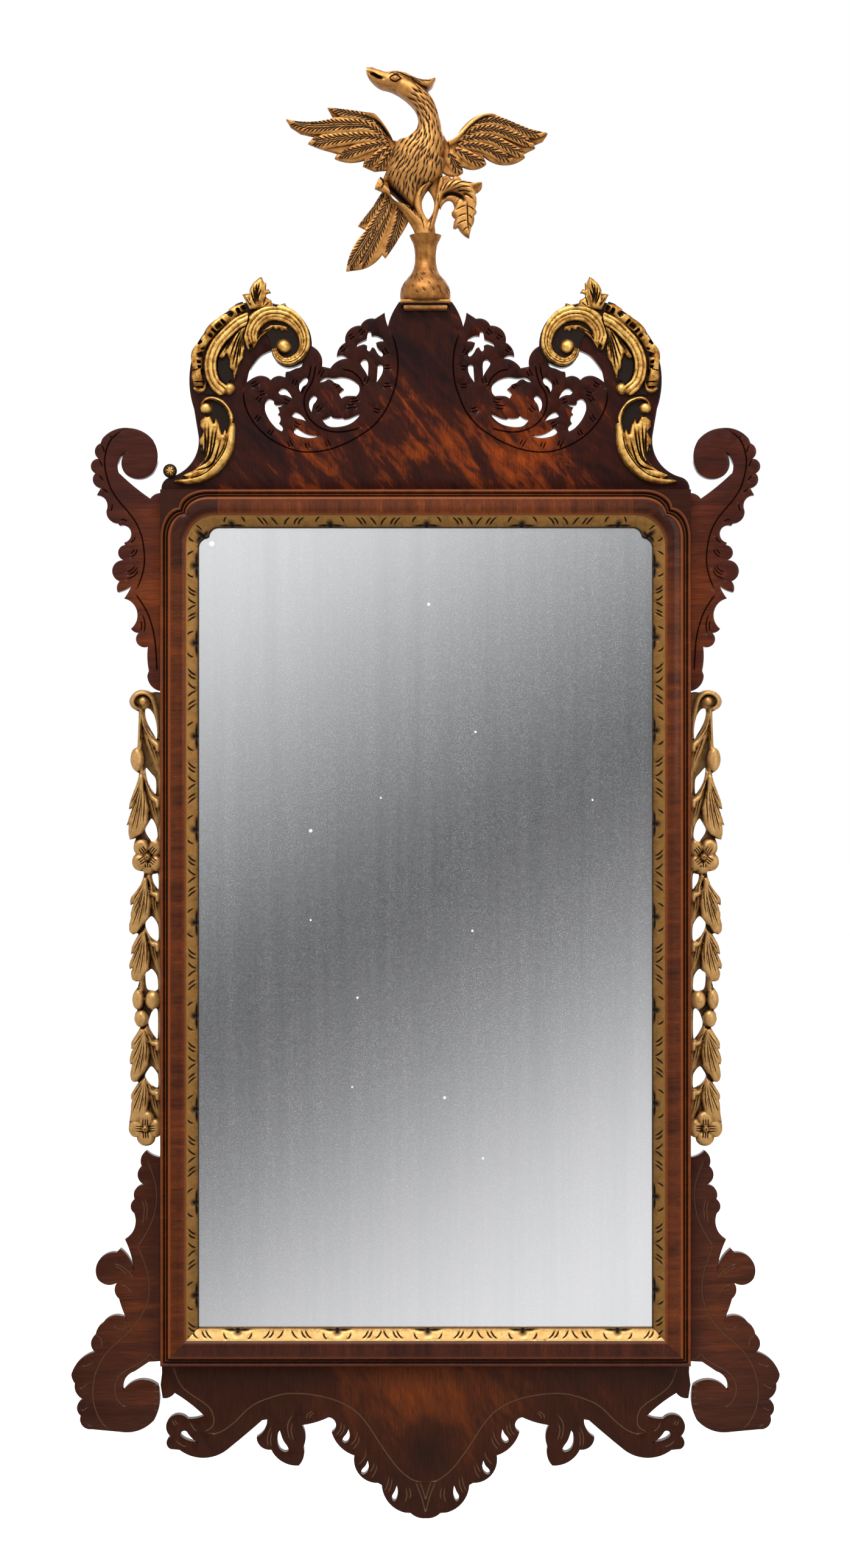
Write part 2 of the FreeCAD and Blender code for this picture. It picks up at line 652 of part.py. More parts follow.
CREST_HOLES = [
    [
        (168.5, 513.2), (163.8, 529.8, 147.9, 543.4), (144.9, 543.8), (138.4, 531.2, 123.5, 528.1),
        (115.5, 531.6), (123.5, 526.7), (131.9, 522.4), (132.6, 518.1), (139.6, 519.6, 145.2, 516.6),
        (155.6, 520.3, 168.5, 513.2),
    ],
    [
        (52.4, 561.4), (49.3, 557.6), (43.2, 557.9), (39.4, 553), (45.5, 551.5), (44.7, 546.9), (40.1, 540.8),
        (47, 543.8), (50.8, 546.9), (53.1, 543.5), (55, 549.2), (64.6, 548.4), (61.5, 552.2), (56.2, 553.8),
    ],
    [(57.7, 535), (53, 528, 54.3, 520.1), (59, 527.6, 57.7, 535)],
    [(43.2, 530.1), (39.7, 523.9), (45.5, 514.5), (45.2, 519.4)],
    [
        (99.3, 514.8), (88.3, 518.6), (71.5, 517.1), (64.6, 514), (62.3, 508.6), (63.8, 501.8), (74.5, 501),
        (79.1, 499), (81.4, 503.3), (76.8, 507.9), (82.2, 512.5), (89.1, 514.8),
    ],
    [(104.4, 501), (102.4, 499.5), (107.4, 485.7), (109.7, 489.5)],
    [
        (97, 478.8), (89.1, 482.6), (88.3, 480.8), (75.3, 479.3), (69.2, 482.6), (62, 484.2), (65.3, 478.1),
        (80, 472, 97, 478.8),
    ],
    [(125.8, 482.6), (123.5, 485.2), (114.3, 480.4), (113.1, 477.6)],
    [(123.8, 466.6), (119.6, 470.4), (112, 465.6, 99.8, 464), (112, 461, 123.8, 466.6)],
    [
        (147.2, 498.2), (151.2, 483, 134.9, 467.8), (138, 475), (136.5, 478.8), (138.8, 482.6),
        (139.5, 488.8), (134.9, 492.1), (142.6, 492.6),
    ],
    [(138.5, 504.8), (134.2, 508.3), (128.8, 505.6), (126.2, 499.2), (134.2, 502.5)],
    [(113.5, 518.1), (110.9, 516.3), (118.9, 505.3), (119.3, 510.2)],
]

# Gilt work, drawn like the boards: scrolls on the crest's face
LEAF_SPRIG = [
    (164.9, 582.3), (171.4, 596.5), (164.9, 597.2), (163.2, 606, 153.9, 613.1), (150.6, 601.1),
    (145.5, 597.8), (150, 594.6), (144.8, 590.1), (142.9, 583.6),
]
ROCAILLE = [
    (172, 583), (184.9, 582.3), (191.4, 576.5), (202, 567, 208.9, 554.5), (219.2, 542.2),
    (221.4, 526, 221.8, 512.4), (217.3, 503.3), (204.4, 502.1), (190.1, 502.7), (184.3, 502.7),
    (179.1, 507.9, 184.3, 513.1), (190, 516), (191.6, 530, 184, 542), (176, 549), (172.4, 560, 169, 566),
    (167.5, 575),
]
VOLUTE = [
    (163, 545), (165.4, 556, 165, 566), (156, 576, 146, 581), (135.8, 581.8), (121, 575.6, 113.6, 562),
    (109.4, 549, 113, 537.7), (126, 528.2, 142, 535.4), (146, 543.8), (147, 556), (153, 561, 158, 556),
]
LEAF_SCROLL = [
    (208.2, 498.2), (200.5, 500.4), (186, 493.6, 178.5, 476.2), (178.6, 452, 199.2, 424.4),
    (217, 416.8, 239.3, 421.2), (234.1, 425.7), (216, 431.6, 208.2, 447.7), (212.8, 451.6),
    (213.4, 460.6, 208.2, 465.8), (212.1, 471), (212.2, 479, 203.1, 482), (207.5, 483.6),
    (212, 489, 208.2, 498.2),
]

# Garland beside a stile, with the openings between its leaves
GARLAND = [
    (249, 221), (257, 221.6), (261.5, 219.4), (270.5, 223.2, 280, 213), (277, 206, 271, 203.4),
    (271.8, 169), (275, 157, 270.4, 146), (270.1, 137), (279, 114, 281.4, 95.4), (278.1, 82.1),
    (274.6, 80), (276.2, 66, 268.6, 53), (270, 40), (278, 25.9), (279, 8, 276.5, -7.3), (269.4, -2.6),
    (276.8, -18, 278.5, -39.1), (273.8, -51.3), (271, -56.7), (273.8, -68.9, 270, -76),
    (271.5, -86, 268.4, -94), (277.6, -108, 279.2, -127.1), (275.8, -146), (270, -142),
    (276.6, -153, 278.5, -171.7), (279.9, -188, 272.6, -203), (263, -207.4, 253.4, -203), (249, -196),
]
GARLAND_GAPS = [
    [(264.5, 204), (259, 206.5), (253.6, 190), (253.6, 177.6), (258, 184), (264.5, 196)],
    [(264, 150), (255, 141), (255, 125), (262, 135)],
    [(261, 89), (258, 102), (254, 93), (254, 82), (259.5, 81)],
    [(258, 50), (253, 50), (253, 36), (257, 42)],
    [(263, 1), (259, 9), (253, 2), (253, -13), (260.5, -8)],
    [(264, -45), (258, -41), (253, -47), (253, -60), (262, -58)],
    [(259, -80), (253, -80), (253, -104), (260, -95)],
    [(263, -142), (260, -131), (253, -136), (253, -150), (260.5, -147)],
]
ROSETTE = [(-234.3, 430.2), (-240.8, 436.7, -247.3, 430.2), (-240.8, 423.7, -234.3, 430.2)]

# Seats of the outlines: the frame's corner under the crest, and the ear tips that a garland hangs between
corner_x, corner_z = CREST[1]
garland_top = UPPER_EAR[-1][-1]
garland_bottom = LOWER_EAR[1][-1]


def teardrop(tip, centre, radius):
    """A pointed piercing: two lines from its tip, tangent to its round end."""
    run_x = centre[0] - tip[0]
    run_z = centre[1] - tip[1]
    length = math.hypot(run_x, run_z)
    along = math.atan2(run_z, run_x)
    spread = math.acos(radius / length)
    turns = (along + math.pi - spread, along + math.pi + spread)
    sides = [(centre[0] + radius * math.cos(turn), centre[1] + radius * math.sin(turn)) for turn in turns]
    far_end = (centre[0] + radius * run_x / length, centre[1] + radius * run_z / length)
    return [tip, sides[0], far_end + sides[1]]


def mirror_half(outline):
    """A half outline from the middle line out and back, joined to its mirror image."""
    other_half = placed(reversed_outline(outline), lambda x, z: (-x, z))
    return outline[1:] + other_half[1:]


def on_frame(side, end):
    """Places points beside a stile, measured from the frame's side and its top (1) or bottom (-1)."""
    rise = end * (half_height - corner_z)
    return lambda x, z: (side * (x - corner_x + half_width), z + rise)


def over_frame(side, end):
    """Places points above or below the frame, spread to its width."""
    rise = end * (half_height - corner_z)
    return lambda x, z: (side * x * half_width / corner_x, z + rise)


def between_ears(side):
    """Places garland points, spread over the stile between the two ears."""
    rise = half_height - corner_z
    stretch = 1 + 2 * rise / (garland_top - garland_bottom)
    out = half_width - corner_x
    return lambda x, z: (side * (x + out), garland_top + rise + (z - garland_top) * stretch)


def fretted_boards(dowel):
    back = "Sizes.backing_depth"
    thickness = "Sizes.board_thickness"
    for hand, side in HANDS:
        board(f"ear_upper_{hand}", [placed(UPPER_EAR, on_frame(side, 1))], back, thickness)
        board(f"ear_lower_{hand}", [placed(LOWER_EAR, on_frame(side, -1))], back, thickness)
    apron = [placed(mirror_half(APRON), over_frame(1, -1))]
    crest = [placed(mirror_half(CREST), over_frame(1, 1))]
    for _, side in HANDS:
        apron += [placed(teardrop(*drop), over_frame(side, -1)) for drop in APRON_DROPS]
        crest += [placed(hole, over_frame(side, 1)) for hole in CREST_HOLES]
    board("apron_board", apron, back, thickness)
    fret = board("crest_fret", crest, back, thickness)
    cut("crest_board", fret, [dowel])


def gilt_work():
    """Scrolls glued to the crest's face and garlands glued to the stiles' sides."""
    scrolls = {"leaf_sprig": LEAF_SPRIG, "rocaille": ROCAILLE, "volute": VOLUTE, "leaf_scroll": LEAF_SCROLL}
    for hand, side in HANDS:
        for name, outline in scrolls.items():
            board(f"{name}_{hand}", [placed(outline, over_frame(side, 1))], BOARD_FRONT, "Sizes.scroll_rise")
        garland = [placed(outline, between_ears(side)) for outline in [GARLAND] + GARLAND_GAPS]
        board(f"garland_{hand}", garland, "Sizes.garland_back", "Sizes.garland_depth")
    board("rosette_left", [placed(ROSETTE, over_frame(1, 1))], BOARD_FRONT, "Sizes.scroll_rise")


# Finial: cap, vase, branches, leaf and phoenix, drawn about its own middle line

crest_height = CREST[-1][1] - corner_z
crest_top = half_height + crest_height
vase_rim = crest_top + size("vase_height")
CREST_TOP = f"({HALF_HEIGHT} + {crest_height})"
BOARD_MIDDLE = "(Sizes.backing_depth + Sizes.board_thickness / 2)"
BRANCH_BACK = "(Sizes.finial_back + Sizes.tail_depth)"

BRANCHES = [
    (-9, 653), (-12.5, 661), (-21.2, 674.7), (-36.5, 692.6), (-48, 697.5), (-42.6, 709), (-31.5, 699.5),
    (-14.6, 679.3), (-8.6, 670.5), (-10.8, 684, -9, 695.6), (9, 717), (15.4, 720), (17, 697), (14.6, 685),
    (8.6, 663), (9.5, 653),
]
BRANCH_LOOP = [(2.4, 667.5), (8.2, 681.8, 2.4, 696), (-3.4, 681.8, 2.4, 667.5)]
FINIAL_LEAF = [
    (14, 708), (30, 707, 42.4, 700.9), (53.5, 701.7), (46.4, 690.6), (48.6, 678, 43.2, 662.8), (40.5, 648.9),
    (27.3, 658), (24.9, 672.3), (27.3, 680.2), (23.4, 685), (15, 680), (7, 658), (6, 666), (12, 690),
]
WING_LEFT = [
    (-30.6, 742.2), (-37, 754, -48.1, 767.6), (-75.1, 771.6), (-92.6, 773.6), (-87, 763.6),
    (-110, 760, -131.8, 762.8), (-127.5, 755.7), (-118, 749.3), (-105.3, 746.6), (-110.9, 739.8),
    (-98.9, 735), (-83.1, 730.7), (-85.8, 726), (-72, 722.4, -57.6, 724.7), (-59.2, 718.7), (-48.4, 713.9),
    (-35.4, 715), (-18, 718), (-16, 738),
]
WING_RIGHT = [
    (22.6, 742.2), (29.7, 745.4), (42, 761.6, 63.1, 767.9), (98, 753.3), (115.5, 749.3), (110.7, 742.2),
    (101.2, 738.2), (103.6, 735.8), (91.6, 729.9), (94, 727.1), (83, 721.2, 54.3, 728.7), (57.5, 720.7),
    (46, 715.8, 34.5, 718.4), (35.6, 712.8), (26, 709.2, 14.6, 714.4), (6, 722), (8, 738),
]
TAIL = [
    (-41.8, 694.5), (-49.7, 681.8), (-64, 663.6), (-56.1, 659.6), (-70, 640, -75.1, 620.7), (-60.8, 622.6),
    (-48, 629, -41, 636.6), (-38.1, 632.9), (-27, 649, -17.1, 665.9), (-13, 676), (-14, 692), (-26, 706),
]
HEAD_TUFT = [(-14, 796), (-10, 801.7), (9.1, 801.7), (7.5, 796.2), (-2.1, 789.8), (-10, 786)]

# Phoenix's body, neck and head: middle, lean from upright, half width and half depth of each section
PHOENIX_SECTIONS = [
    ((-12, 679), 10, 2.5, 4),
    ((-18, 697), 10, 18, 12),
    ((-11, 714), 0, 26, 17),
    ((-5, 731), 0, 27, 18),
    ((2, 745), 0, 18, 14),
    ((4, 757), 0, 11, 11),
    ((1.5, 770), 15, 10.6, 10),
    ((-6, 783), 45, 10.6, 10),
    ((-21, 796), 70, 11.5, 9),
    ((-37, 800.5), 80, 7.5, 5.5),
    ((-49, 806), 70, 4.5, 3),
    ((-55.5, 809.5), 65, 1.6, 1.6),
]


def on_vase(x, z):
    """Places finial points above the rim of the vase, where the branches begin."""
    return x, z - BRANCHES[0][1] + vase_rim


def cap():
    """A small ogee shelf on the front of the crest's neck, level with its top."""
    front = size("backing_depth") + size("board_thickness")
    reach = size("cap_depth")
    height = size("cap_height")
    section = [
        (front, 0),
        (front + reach, 0),
        (front + reach, -0.25 * height),
        (front + 0.8 * reach, -0.25 * height),
        (front + 0.6 * reach, -0.8 * height, front + 0.25 * reach, -height),
        (front, -height),
    ]
    outline = placed(section, lambda out, rise: (-out, crest_top + rise))
    padded("plinth_cap", "YZ_Plane", [outline], "-Sizes.cap_width / 2", "Sizes.cap_width")


def vase(dowel):
    """A turned vase with a flat back, drilled for the dowel."""
    belly = size("vase_radius")
    waist = size("vase_waist")
    height = size("vase_height")
    shoulder = (belly + waist) / 2
    profile = [
        (0, 0),
        (belly, 0),
        (belly, 0.19 * height),
        (shoulder + 2, 0.32 * height, waist + 2.2, 0.48 * height),
        (waist, 0.7 * height, size("vase_lip"), 0.98 * height),
        (size("vase_lip"), height),
        (0, height),
    ]
    body = doc.addObject("PartDesign::Body", "vase_turned")
    sketch = sketch_on(body, "XZ_Plane", [placed(profile, lambda x, z: (x, z + crest_top))], BOARD_MIDDLE)
    turned = body.newObject("PartDesign::Revolution", "vase_revolution")
    turned.Profile = sketch
    turned.ReferenceAxis = (sketch, ["V_Axis"])
    turned.Angle = 360
    body.Tip = turned
    behind = box("vase_behind", span("-2 * Sizes.vase_radius", "2 * Sizes.vase_radius"),
                 ("-Sizes.finial_back", "2 * Sizes.vase_radius"), (CREST_TOP, "Sizes.vase_height"))
    cut("finial_vase", body, [behind, dowel])


def section_ring(number, middle, lean, half_across, half_deep, depth_middle):
    """A smooth closed section across the phoenix's spine."""
    turn = math.radians(lean)
    across = FreeCAD.Vector(math.cos(turn), 0, math.sin(turn))
    x, z = on_vase(*middle)
    centre = FreeCAD.Vector(x, -depth_middle, z)
    points = []
    for step in range(8):
        angle = step * math.pi / 4
        out = across * (half_across * math.cos(angle))
        points.append(centre + out + FreeCAD.Vector(0, half_deep * math.sin(angle), 0))
    curve = Part.BSplineCurve()
    curve.interpolate(Points=points, PeriodicFlag=True)
    ring_wire = doc.addObject("Part::Feature", f"phoenix_section{number}")
    ring_wire.Shape = Part.Wire(curve.toShape())
    return ring_wire


def phoenix(branches):
    """The bird: a lofted body with a flat back, wings let into its sides and a tail behind."""
    depth_middle = size("finial_back") + size("tail_depth") + size("branch_depth") / 2
    rings = [section_ring(number, *section, depth_middle) for number, section in enumerate(PHOENIX_SECTIONS)]
    loft = doc.addObject("Part::Loft", "phoenix_loft")
    loft.Sections = rings
    loft.Solid = True
    tuft = board("phoenix_tuft", [placed(HEAD_TUFT, on_vase)], BRANCH_BACK, "Sizes.branch_depth / 2")
    reach = "(4 * Sizes.vase_radius)"
    behind = box("phoenix_behind", span(f"-{reach}", reach), ("-Sizes.finial_back", reach),
                 (CREST_TOP, "6 * Sizes.vase_height"))
    body = cut("phoenix_body", fused("phoenix_whole", [loft, tuft]), [behind])
    cut("finial_branches", branches, [body])
    for name, outline in (("phoenix_wing_left", WING_LEFT), ("phoenix_wing_right", WING_RIGHT)):
        wing = board(f"{name}_blank", [placed(outline, on_vase)], BRANCH_BACK, "Sizes.wing_depth")
        cut(name, wing, [branches, body])
    tail = board("phoenix_tail_blank", [placed(TAIL, on_vase)], "Sizes.finial_back", "Sizes.tail_depth")
    cut("phoenix_tail", tail, [body])
    leaf = board("finial_leaf_blank", [placed(FINIAL_LEAF, on_vase)], BRANCH_BACK, "Sizes.branch_depth")
    cut("finial_leaf", leaf, [branches, body])


def finial(dowel):
    cap()
    vase(dowel)
    outlines = [placed(outline, on_vase) for outline in (BRANCHES, BRANCH_LOOP)]
    phoenix(board("branches_blank", outlines, BRANCH_BACK, "Sizes.branch_depth"))


NODES = [
    "carcass_stile_left", "carcass_stile_right", "carcass_rail_top", "carcass_rail_bottom",
    "moulding_left", "moulding_right", "moulding_top", "moulding_bottom", "corner_block_left",
    "corner_block_right", "slip_left", "slip_right", "slip_top", "slip_bottom", "mirror_plate",
    "plate_blocks", "backboard", "backboard_nails", "crest_board", "crest_batten_left",
    "crest_batten_right", "crest_batten_centre", "ear_upper_left", "ear_upper_right", "ear_lower_left",
    "ear_lower_right", "ear_battens", "apron_board", "apron_battens", "garland_left", "garland_right",
    "leaf_sprig_left", "leaf_sprig_right", "rocaille_left", "rocaille_right", "volute_left",
    "volute_right", "leaf_scroll_left", "leaf_scroll_right", "rosette_left", "plinth_cap", "finial_dowel",
    "finial_vase", "finial_branches", "finial_leaf", "phoenix_body", "phoenix_wing_left",
    "phoenix_wing_right", "phoenix_tail", "hanger_strap_left", "hanger_strap_right", "hanger_ring_left",
    "hanger_ring_right", "hanger_screws",
]


def build():
    nails = backboard_nails()
    screws = [screw for hand, side in HANDS for screw in hanger(hand, side)]
    group("hanger_screws", screws)
    carcass(nails, screws)
    backboard(nails)
    mouldings()
    plate_and_blocks()
    battens()
    dowel = rod("finial_dowel", "Sizes.dowel_diameter", "Sizes.dowel_length",
                ("0", f"-{BOARD_MIDDLE}", f"{CREST_TOP} - Sizes.dowel_length / 2"))
    fretted_boards(dowel)
    gilt_work()
    finial(dowel)
    doc.recompute()


def check():
    """Stops if an object failed, or if a sub-part has no sound shape."""
    for item in doc.Objects:
        if "Invalid" in item.State or "Error" in item.State:
            raise RuntimeError(f"{item.Name}: {item.State}")
    for name in NODES:
        shape = doc.getObject(name).Shape
        if shape.isNull() or not shape.isValid() or not shape.Solids:
            raise RuntimeError(f"{name} has no valid solid")


def export():
    os.makedirs("parts", exist_ok=True)
    for name in NODES:
        node = doc.getObject(name)
        node.Label = name
        node.Shape.exportStep(f"parts/{name}.step")
        print(f"{name}: {len(node.Shape.Solids)} solids, {node.Shape.Volume:.0f} cubic mm")


build()
check()
export()
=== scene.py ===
"""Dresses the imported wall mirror: figured mahogany, carved gilding, old silvering, studio and camera."""

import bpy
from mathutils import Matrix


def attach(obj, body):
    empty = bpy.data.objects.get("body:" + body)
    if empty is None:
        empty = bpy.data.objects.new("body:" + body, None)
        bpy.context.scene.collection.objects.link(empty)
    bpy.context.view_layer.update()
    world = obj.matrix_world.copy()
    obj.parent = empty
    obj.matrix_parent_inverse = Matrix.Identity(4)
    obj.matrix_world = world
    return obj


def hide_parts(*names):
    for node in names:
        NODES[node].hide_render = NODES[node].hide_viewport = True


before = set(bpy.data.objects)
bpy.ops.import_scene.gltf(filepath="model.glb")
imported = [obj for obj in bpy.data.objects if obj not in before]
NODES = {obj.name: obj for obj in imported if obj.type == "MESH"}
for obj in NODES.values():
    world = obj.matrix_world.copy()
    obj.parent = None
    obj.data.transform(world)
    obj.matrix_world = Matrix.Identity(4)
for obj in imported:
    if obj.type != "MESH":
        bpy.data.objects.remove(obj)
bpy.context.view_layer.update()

import math

import bmesh
import bpy
import numpy as np
from mathutils import Vector
from mathutils.geometry import delaunay_2d_cdt

# Lengths are in millimetres in the CAD frame, X right, Z up, front towards minus Y.
MM = 0.001
BOARD_FRONT = -16.0
BOARD_BACK = -6.0
CARCASS_FRONT = -24.0
HALF_WIDTH = 249.0
HALF_HEIGHT = 411.6
BODY = "mirror_frame"
LEAF_METAL = 0.55
LEAF_ROUGH = 0.36


def rgb(red, green, blue):
    """A colour given as it looks on a screen, 0 to 255, in the linear values that shaders take."""
    scaled = [c / 255 for c in (red, green, blue)]
    linear = [c / 12.92 if c <= 0.04045 else ((c + 0.055) / 1.055) ** 2.4 for c in scaled]
    return (*linear, 1.0)


def mirrored(points):
    """The same points on the other side of the mirror's middle."""
    return [(-x, *rest) for x, *rest in points]


def curve(points, step=1.5, closed=False):
    """Samples of a smooth curve through the points."""
    p = np.array(points, float)
    if closed:
        ends = np.vstack([p[-1], p, p[0], p[1]])
    else:
        ends = np.vstack([2 * p[0] - p[1], p, 2 * p[-1] - p[-2]])
    out = []
    for a, b, c, d in zip(ends, ends[1:], ends[2:], ends[3:]):
        count = max(2, int(np.linalg.norm(c - b) / step) + 1)
        t = np.linspace(0, 1, count, endpoint=False)[:, None]
        out.append(0.5 * (2 * b + (c - a) * t + (2 * a - 5 * b + 4 * c - d) * t**2
                          + (3 * b - a - 3 * c + d) * t**3))
    if not closed:
        out.append(p[-1:])
    return np.vstack(out)


def shares(points):
    """The share of a line's length that lies before each of its points."""
    runs = np.linalg.norm(np.diff(np.array(points, float), axis=0), axis=1)
    return np.concatenate([[0], np.cumsum(runs)]) / max(runs.sum(), 1e-9)


def normals(path):
    """Unit vectors square to a path, on its left."""
    tangent = np.gradient(path, axis=0)
    normal = np.stack([-tangent[:, 1], tangent[:, 0]], 1)
    return normal / np.maximum(np.linalg.norm(normal, axis=1), 1e-9)[:, None]


def run_of(edge, k):
    """One run of a lobed outline, from the end of the run before it."""
    return curve([edge[k - 1][-1], *edge[k]], 1.0)[:-1]


def lobed(edge):
    """A closed outline of smooth runs that meet at corners; each run starts where the one before it ended."""
    return np.vstack([run_of(edge, k) for k in range(len(edge))])


def along(path, points):
    """For each point, its distance to the path and the share of the path's length that lies before it."""
    steps = np.diff(path, axis=0)
    lengths = np.maximum(np.linalg.norm(steps, axis=1), 1e-9)
    before = np.concatenate([[0], np.cumsum(lengths)])
    best = np.full(len(points), 1e9)
    share = np.zeros(len(points))
    for start, step, length, run in zip(path, steps, lengths, before):
        away = points - start
        t = np.clip(away @ step / length**2, 0, 1)
        distance = np.hypot(*(away - t[:, None] * step).T)
        closer = distance < best
        best[closer] = distance[closer]
        share[closer] = (run + t[closer] * length) / before[-1]
    return best, share


def inside(loops, points):
    """Which points lie inside the outline and outside its holes."""
    odd = np.zeros(len(points), bool)
    x, z = points.T
    for loop in loops:
        for (xa, za), (xb, zb) in zip(loop, np.roll(loop, -1, axis=0)):
            if za != zb:
                crosses = ((za > z) != (zb > z)) & (x < xa + (xb - xa) * (z - za) / (zb - za))
                odd ^= crosses
    return odd


def edge_distance(loops, points):
    """Each point's distance to the nearest edge of the outline or its holes."""
    return np.min([along(np.vstack([loop, loop[:1]]), points)[0] for loop in loops], axis=0)


def resampled(loop, step):
    """The same outline with no edge longer than the step."""
    out = []
    for a, b in zip(loop, np.roll(loop, -1, axis=0)):
        count = max(1, int(math.ceil(np.linalg.norm(b - a) / step)))
        out.extend(a + (b - a) * i / count for i in range(count))
    return np.array(out)


def open_edges(faces):
    """Edges that belong to one face only, in that face's direction."""
    edges = {}
    for face in faces:
        for a, b in zip(face, face[1:] + face[:1]):
            if (b, a) in edges:
                del edges[b, a]
            else:
                edges[a, b] = True
    return list(edges)


def front_loops(node):
    """Outline and holes of a board's front face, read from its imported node."""
    mesh = NODES[node].data
    co = np.array([v.co for v in mesh.vertices]) / MM
    front = co[:, 1].min()
    key = {}
    index = [key.setdefault(tuple(np.round(c[[0, 2]], 3)), len(key)) for c in co]
    spots = np.array(list(key))
    flat = [face.vertices for face in mesh.polygons
            if all(abs(co[v, 1] - front) < 0.01 for v in face.vertices)]
    onward = dict(open_edges([[index[v] for v in ring] for ring in flat]))
    loops = []
    while onward:
        start, here = next(iter(onward.items()))
        loop = [start]
        del onward[start]
        while here != start:
            loop.append(here)
            here = onward.pop(here)
        loops.append(spots[loop])
    return sorted(loops, key=lambda loop: -np.ptp(loop[:, 0]) * np.ptp(loop[:, 1]))


def add_piece(name, mesh, material, replaced, smooth=35):
    """Puts a finished mesh in the scene, on its body, in place of the nodes it stands for."""
    mesh.validate()
    form = bmesh.new()
    form.from_mesh(mesh)
    bmesh.ops.recalc_face_normals(form, faces=form.faces)
    form.to_mesh(mesh)
    form.free()
    mesh.shade_smooth()
    mesh.set_sharp_from_angle(angle=math.radians(smooth))
    mesh.materials.append(material)
    piece = bpy.data.objects.new(name, mesh)
    bpy.context.scene.collection.objects.link(piece)
    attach(piece, BODY)
    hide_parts(*replaced)


def mesh_of(name, vertices, faces, **shades):
    """A mesh in metres from points in millimetres, with named shades per vertex for its material."""
    mesh = bpy.data.meshes.new(name)
    mesh.from_pydata((np.asarray(vertices, float) * MM).tolist(), [], faces)
    for shade, values in shades.items():
        mesh.attributes.new(shade, "FLOAT", "POINT").data.foreach_set("value", np.asarray(values, np.float32))
    return mesh


def rounded(low, high, q):
    """A quarter round that climbs from one height to another as q goes from 0 to 1."""
    return low + (high - low) * np.sqrt(1 - (1 - np.clip(q, 0, 1)) ** 2)


class Carving:
    """Heights over the XZ plane of a piece carved from the front: a domed blank, raised forms, then cuts."""

    LEAST = 0.3

    def __init__(self, edge, full, reach, lift=None, flip=False, ground=0.0):
        self.edge, self.full, self.reach, self.lift = edge, full, reach, lift
        self.turn = np.array((-1.0, 1.0) if flip else (1.0, 1.0))
        # The ground is the field between the forms, darkened with dirt and painted shade.
        self.ground = ground
        self.forms, self.cuts, self.strokes = 0, [], []

    def path(self, points, step):
        """A smooth path through the points, on the other side of the middle where the piece is flipped."""
        points = np.array(points, float) * self.turn
        return curve(points, step) if len(points) > 1 else np.vstack([points, points])

    def band(self, points, width, rise, level=0.0, hollow=0.0):
        """A raised strip along a curve, round or hollow across; width and rise may be given at each point."""
        at = shares(points)
        half = np.broadcast_to(np.asarray(width, float), at.shape) / 2
        tops = np.broadcast_to(np.asarray(rise, float), at.shape)
        path = self.path(points, 1.5)

        def raised(spots):
            distance, share = along(path, spots)
            across = distance / np.maximum(np.interp(share, at, half), 1e-6)
            dome = np.sqrt(np.clip(1 - across**2, 0, 1)) * (1 - hollow * (1 - np.clip(across, 0, 1) ** 2))
            return level + np.interp(share, at, tops) * dome, across < 1
        self.forms += 1
        self.strokes.append((path, half.max(), raised, None))
        if len(points) > 1:
            side = normals(path) * np.interp(shares(path), at, half)[:, None]
            self.cuts += [path + side * q for q in (-0.97, -0.6, 0, 0.6, 0.97)]

    def ball(self, x, z, radius, rise, level=0.0):
        self.band([(x, z)], 2 * radius, rise, level)

    def blade(self, outline, edge, full, reach, tilt=(0, 0)):
        """A raised leaf or petal inside an outline, rounded down to its edge, its face tilted in X and Z."""
        loop = np.array(outline, float) * self.turn
        middle = loop.mean(0)
        slope = np.array(tilt, float) * self.turn

        def raised(spots):
            face = rounded(edge, full, edge_distance([loop], spots) / reach)
            return face + (spots - middle) @ slope, inside([loop], spots)
        self.forms += 1
        self.strokes.append((loop, 0.0, raised, None))
        self.cuts.append(rim_guides([loop], 0.35))

    def cut(self, points, width, depth, step=1.0, taper=0.25, own=False, soil_and_shade=1.0):
        """A gouge along a curve, tapered at its ends and darkened with dirt and painted shade; an own cut
        stays on the form made just before it.
        """
        path, half = self.path(points, step), width / 2.0

        def sunk(spots):
            distance, share = along(path, spots)
            ends = np.clip(np.minimum(share, 1 - share) / taper, 0.15, 1) if taper else 1.0
            return np.clip(1 - distance / half, 0, 1) * ends
        self.strokes.append((path, half, sunk, (depth, soil_and_shade, self.forms if own else None)))
        normal = normals(path) * half
        self.cuts += [path + normal * q for q in ((-1, 0, 1) if half < 1.2 else (-1, -0.5, 0, 0.5, 1))]

    def guides(self):
        """Points that the mesh needs so that cuts and the edges of forms come out crisp."""
        return np.vstack([np.zeros((0, 2)), *self.cuts])

    def heights(self, loops, points):
        """Height above the back, and darkening from 0 to 1 (dirt and painted shade in the cuts and on the
        ground), at each point. A form covers what lies under it.
        """
        away = edge_distance(loops, points)
        height = rounded(self.edge, self.full, away / self.reach)
        if self.lift is not None:
            height = self.lift(points, height, away)
        depth, dirt = np.zeros(len(points)), np.full(len(points), self.ground)
        owner, form = np.zeros(len(points), int), 0
        for path, reach, shape, gouge_of in self.strokes:
            near = np.all((points > path.min(0) - reach) & (points < path.max(0) + reach), axis=1)
            near = np.flatnonzero(near)
            if gouge_of is None:
                form += 1
                top, covered = shape(points[near])
                over = covered & (top > height[near])
                on = near[over]
                height[on], owner[on], depth[on], dirt[on] = top[over], form, 0.0, 0.0
            else:
                deep, soil_and_shade, own = gouge_of
                v = shape(points[near])
                if own is not None:
                    v = np.where(owner[near] == own, v, 0)
                depth[near] = np.maximum(depth[near], deep * v)
                dirt[near] = np.maximum(dirt[near], soil_and_shade * v)
        return np.maximum(height - depth, self.LEAST), dirt


